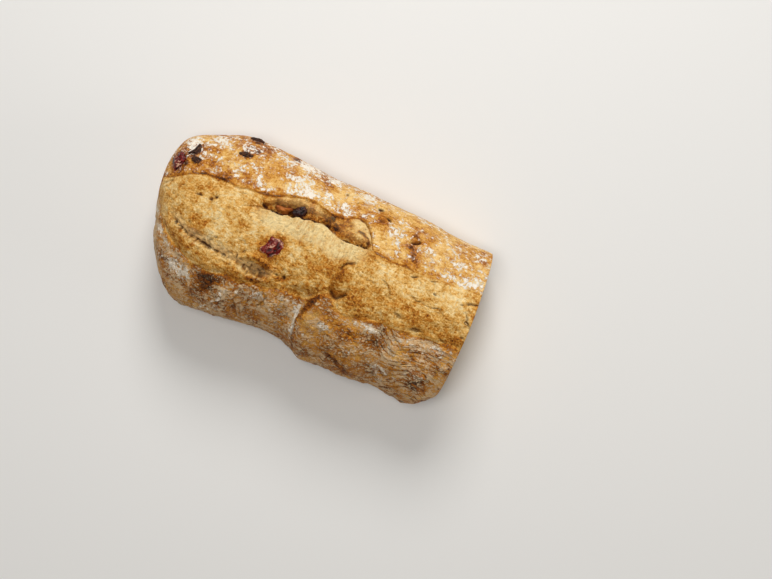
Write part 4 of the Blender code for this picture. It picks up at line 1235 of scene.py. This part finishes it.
def nut_finish(name, middle, edge, skin, skin_from):
    """Cut nut: paler or darker in its middle, with its skin round it."""
    f = Finish(name)
    core = f.share("core")
    mottle = f.noise(f.place, 380.0, 3.0, 0.5)
    colour = f.mix(middle, edge, (core + mottle.swing(0.5)).over(0.3, 0.95))
    colour = f.mix(colour, skin, (core + mottle.swing(0.08)).over(skin_from, skin_from + 0.05))
    f.set(base_color=colour, roughness=0.5, specular_ior_level=0.25)
    f.bump((mottle, 0.00025))
    return f.material


def flour_flakes(crust, finish):
    """Loose flakes of flour standing on the crust, scattered by Geometry Nodes where the flour is thick."""
    tree = bpy.data.node_groups.new("flour flakes", "GeometryNodeTree")
    nodes = Nodes(tree)
    for label, kind, value in (("Crust", "NodeSocketGeometry", None),
                               ("Flakes per square metre", "NodeSocketFloat", 5.2e5),
                               ("Flake radius", "NodeSocketFloat", 0.00042), ("Seed", "NodeSocketInt", 7),
                               ("Flour", "NodeSocketMaterial", None)):
        socket = tree.interface.new_socket(label, in_out="INPUT", socket_type=kind)
        if value is not None:
            socket.default_value = value
    tree.interface.new_socket("Flakes", in_out="OUTPUT", socket_type="NodeSocketGeometry")
    given = nodes.add("NodeGroupInput").outputs
    amount = nodes.add("GeometryNodeInputNamedAttribute", {"data_type": "FLOAT"}, {"Name": "flour"})
    place = nodes.add("GeometryNodeInputPosition").outputs["Position"]
    thick = flour_pattern(nodes, place, Number(nodes, amount.outputs["Attribute"])).over(0.75, 0.82)
    density = thick * Number(nodes, given["Flakes per square metre"])
    points = nodes.add("GeometryNodeDistributePointsOnFaces", {"distribute_method": "RANDOM"},
                       {"Mesh": given["Crust"], "Density": density, "Seed": given["Seed"]})
    flake = nodes.add("GeometryNodeMeshIcoSphere", {}, {"Radius": given["Flake radius"], "Subdivisions": 1})
    scale = nodes.add("FunctionNodeRandomValue", {"data_type": "FLOAT_VECTOR"},
                      {0: (0.5, 0.4, 0.22), 1: (1.5, 1.1, 0.5), "Seed": given["Seed"]}).outputs[0]
    spun = nodes.add("FunctionNodeRandomValue", {"data_type": "FLOAT_VECTOR"},
                     {0: (0.0, 0.0, 0.0), 1: (0.5, 0.5, 6.28), "Seed": given["Seed"]}).outputs[0]
    spin = nodes.add("FunctionNodeRotateRotation", {"rotation_space": "LOCAL"},
                     {"Rotation": points.outputs["Rotation"], "Rotate By": spun}).outputs["Rotation"]
    scattered = nodes.add("GeometryNodeInstanceOnPoints", {}, {"Points": points.outputs["Points"],
                          "Instance": flake.outputs["Mesh"], "Rotation": spin, "Scale": scale})
    real = nodes.add("GeometryNodeRealizeInstances", {}, {"Geometry": scattered.outputs["Instances"]})
    floured = nodes.add("GeometryNodeSetMaterial", {},
                        {"Geometry": real.outputs["Geometry"], "Material": given["Flour"]})
    nodes.add("NodeGroupOutput", {}, {"Flakes": floured.outputs["Geometry"]})

    holder = bpy.data.objects.new("flour_flakes", crust.data.copy())
    bpy.context.scene.collection.objects.link(holder)
    modifier = holder.modifiers.new("flour flakes", "NODES")
    modifier.node_group = tree
    sockets = {item.name: item.identifier for item in tree.interface.items_tree if item.in_out == "INPUT"}
    modifier[sockets["Flour"]] = finish
    return settled(holder)


def settled(holder):
    """A piece as a plain mesh, with its modifiers' result kept and the modifiers gone."""
    depsgraph = bpy.context.evaluated_depsgraph_get()
    mesh = bpy.data.meshes.new_from_object(holder.evaluated_get(depsgraph), depsgraph=depsgraph)
    old = holder.data
    holder.modifiers.clear()
    holder.data = mesh
    bpy.data.meshes.remove(old)
    return holder


def flour_finish():
    f = Finish("loose flour")
    f.set(base_color=f.mix(FLOUR, tint(236, 214, 182), f.noise(f.place, 700.0, 2.0).over(0.4, 0.7)))
    f.set(roughness=0.9, specular_ior_level=0.2)
    return f.material


def make_stage():
    """Pale floor, soft studio light and the photograph's camera."""
    bpy.ops.mesh.primitive_plane_add(size=6, location=(0, 0, 0))
    floor = bpy.context.object
    floor.name = "floor"
    finish = Finish("pale floor")
    finish.set(base_color=tint(232, 230, 226), roughness=0.85, specular_ior_level=0.2)
    floor.data.materials.append(finish.material)

    world = bpy.data.worlds.new("studio")
    world.use_nodes = True
    world.node_tree.nodes["Background"].inputs["Color"].default_value = (1.0, 0.95, 0.88, 1)
    world.node_tree.nodes["Background"].inputs["Strength"].default_value = WORLD_LIGHT
    bpy.context.scene.world = world
    for name, place, size, power in LAMPS:
        lamp = bpy.data.lights.new(name, "AREA")
        lamp.shape = "DISK"
        lamp.size = size
        lamp.energy = power
        shown = bpy.data.objects.new(name, lamp)
        shown.location = place
        shown.rotation_euler = (-Vector(place)).to_track_quat("-Z", "Y").to_euler()
        bpy.context.scene.collection.objects.link(shown)

    camera = bpy.data.cameras.new("camera")
    camera.lens = CAMERA_LENS
    camera.sensor_width = 36.0
    shown = bpy.data.objects.new("camera", camera)
    shown.location = CAMERA_PLACE
    shown.rotation_euler = (0, 0, math.radians(CAMERA_TURN))
    bpy.context.scene.collection.objects.link(shown)
    bpy.context.scene.camera = shown
    bpy.context.scene.view_settings.view_transform = "Standard"


FRUIT_FINISHES = {
    # The cranberry in the crevice gets a darker copy of the cranberry finish: painted shade
    "cranberry_crack": fruit_finish("cranberry in painted shade", tint(16, 4, 3), tint(58, 12, 9), tint(150, 100, 70),
                                    0.12, 0.26, 0.12),
    "cranberry": fruit_finish("dried cranberry", tint(44, 3, 2), tint(150, 26, 12), tint(232, 190, 156),
                              0.7, 0.26, 0.14),
    "raisin": fruit_finish("dark raisin", tint(26, 12, 7), tint(84, 44, 22), tint(140, 98, 62),
                           0.4, 0.62, 0.04),
    "hazelnut": nut_finish("cut hazelnut", tint(188, 134, 74), tint(230, 194, 136), tint(150, 98, 52), 0.94),
    "blanched": nut_finish("blanched nut", tint(248, 228, 178), tint(238, 210, 150), tint(186, 146, 90),
                           0.95),
    "almond": nut_finish("cut almond", tint(252, 244, 226), tint(248, 236, 206), tint(156, 90, 48), 0.8),
    "nut": nut_finish("nut in the crust", tint(176, 100, 32), tint(138, 70, 18), tint(98, 48, 14), 0.86),
}

crust, inner_outline = make_crust()
crust.data.materials.append(crust_finish())
crumb = make_crumb(inner_outline)
crumb.data.materials.append(crumb_finish())
flakes = flour_flakes(crust, flour_finish())
for piece in (crust, crumb):
    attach(piece, "root")
    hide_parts("loaf")
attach(flakes, "root")

for name in [*OUTSIDE, *CUT_FACE]:
    fruit = make_outer_fruit(name) if name in OUTSIDE else make_cut_fruit(name)
    kind = next(k for k in FRUIT_FINISHES if k in name)
    fruit.data.materials.append(FRUIT_FINISHES[kind])
    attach(fruit, "root")
    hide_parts(name)

make_stage()
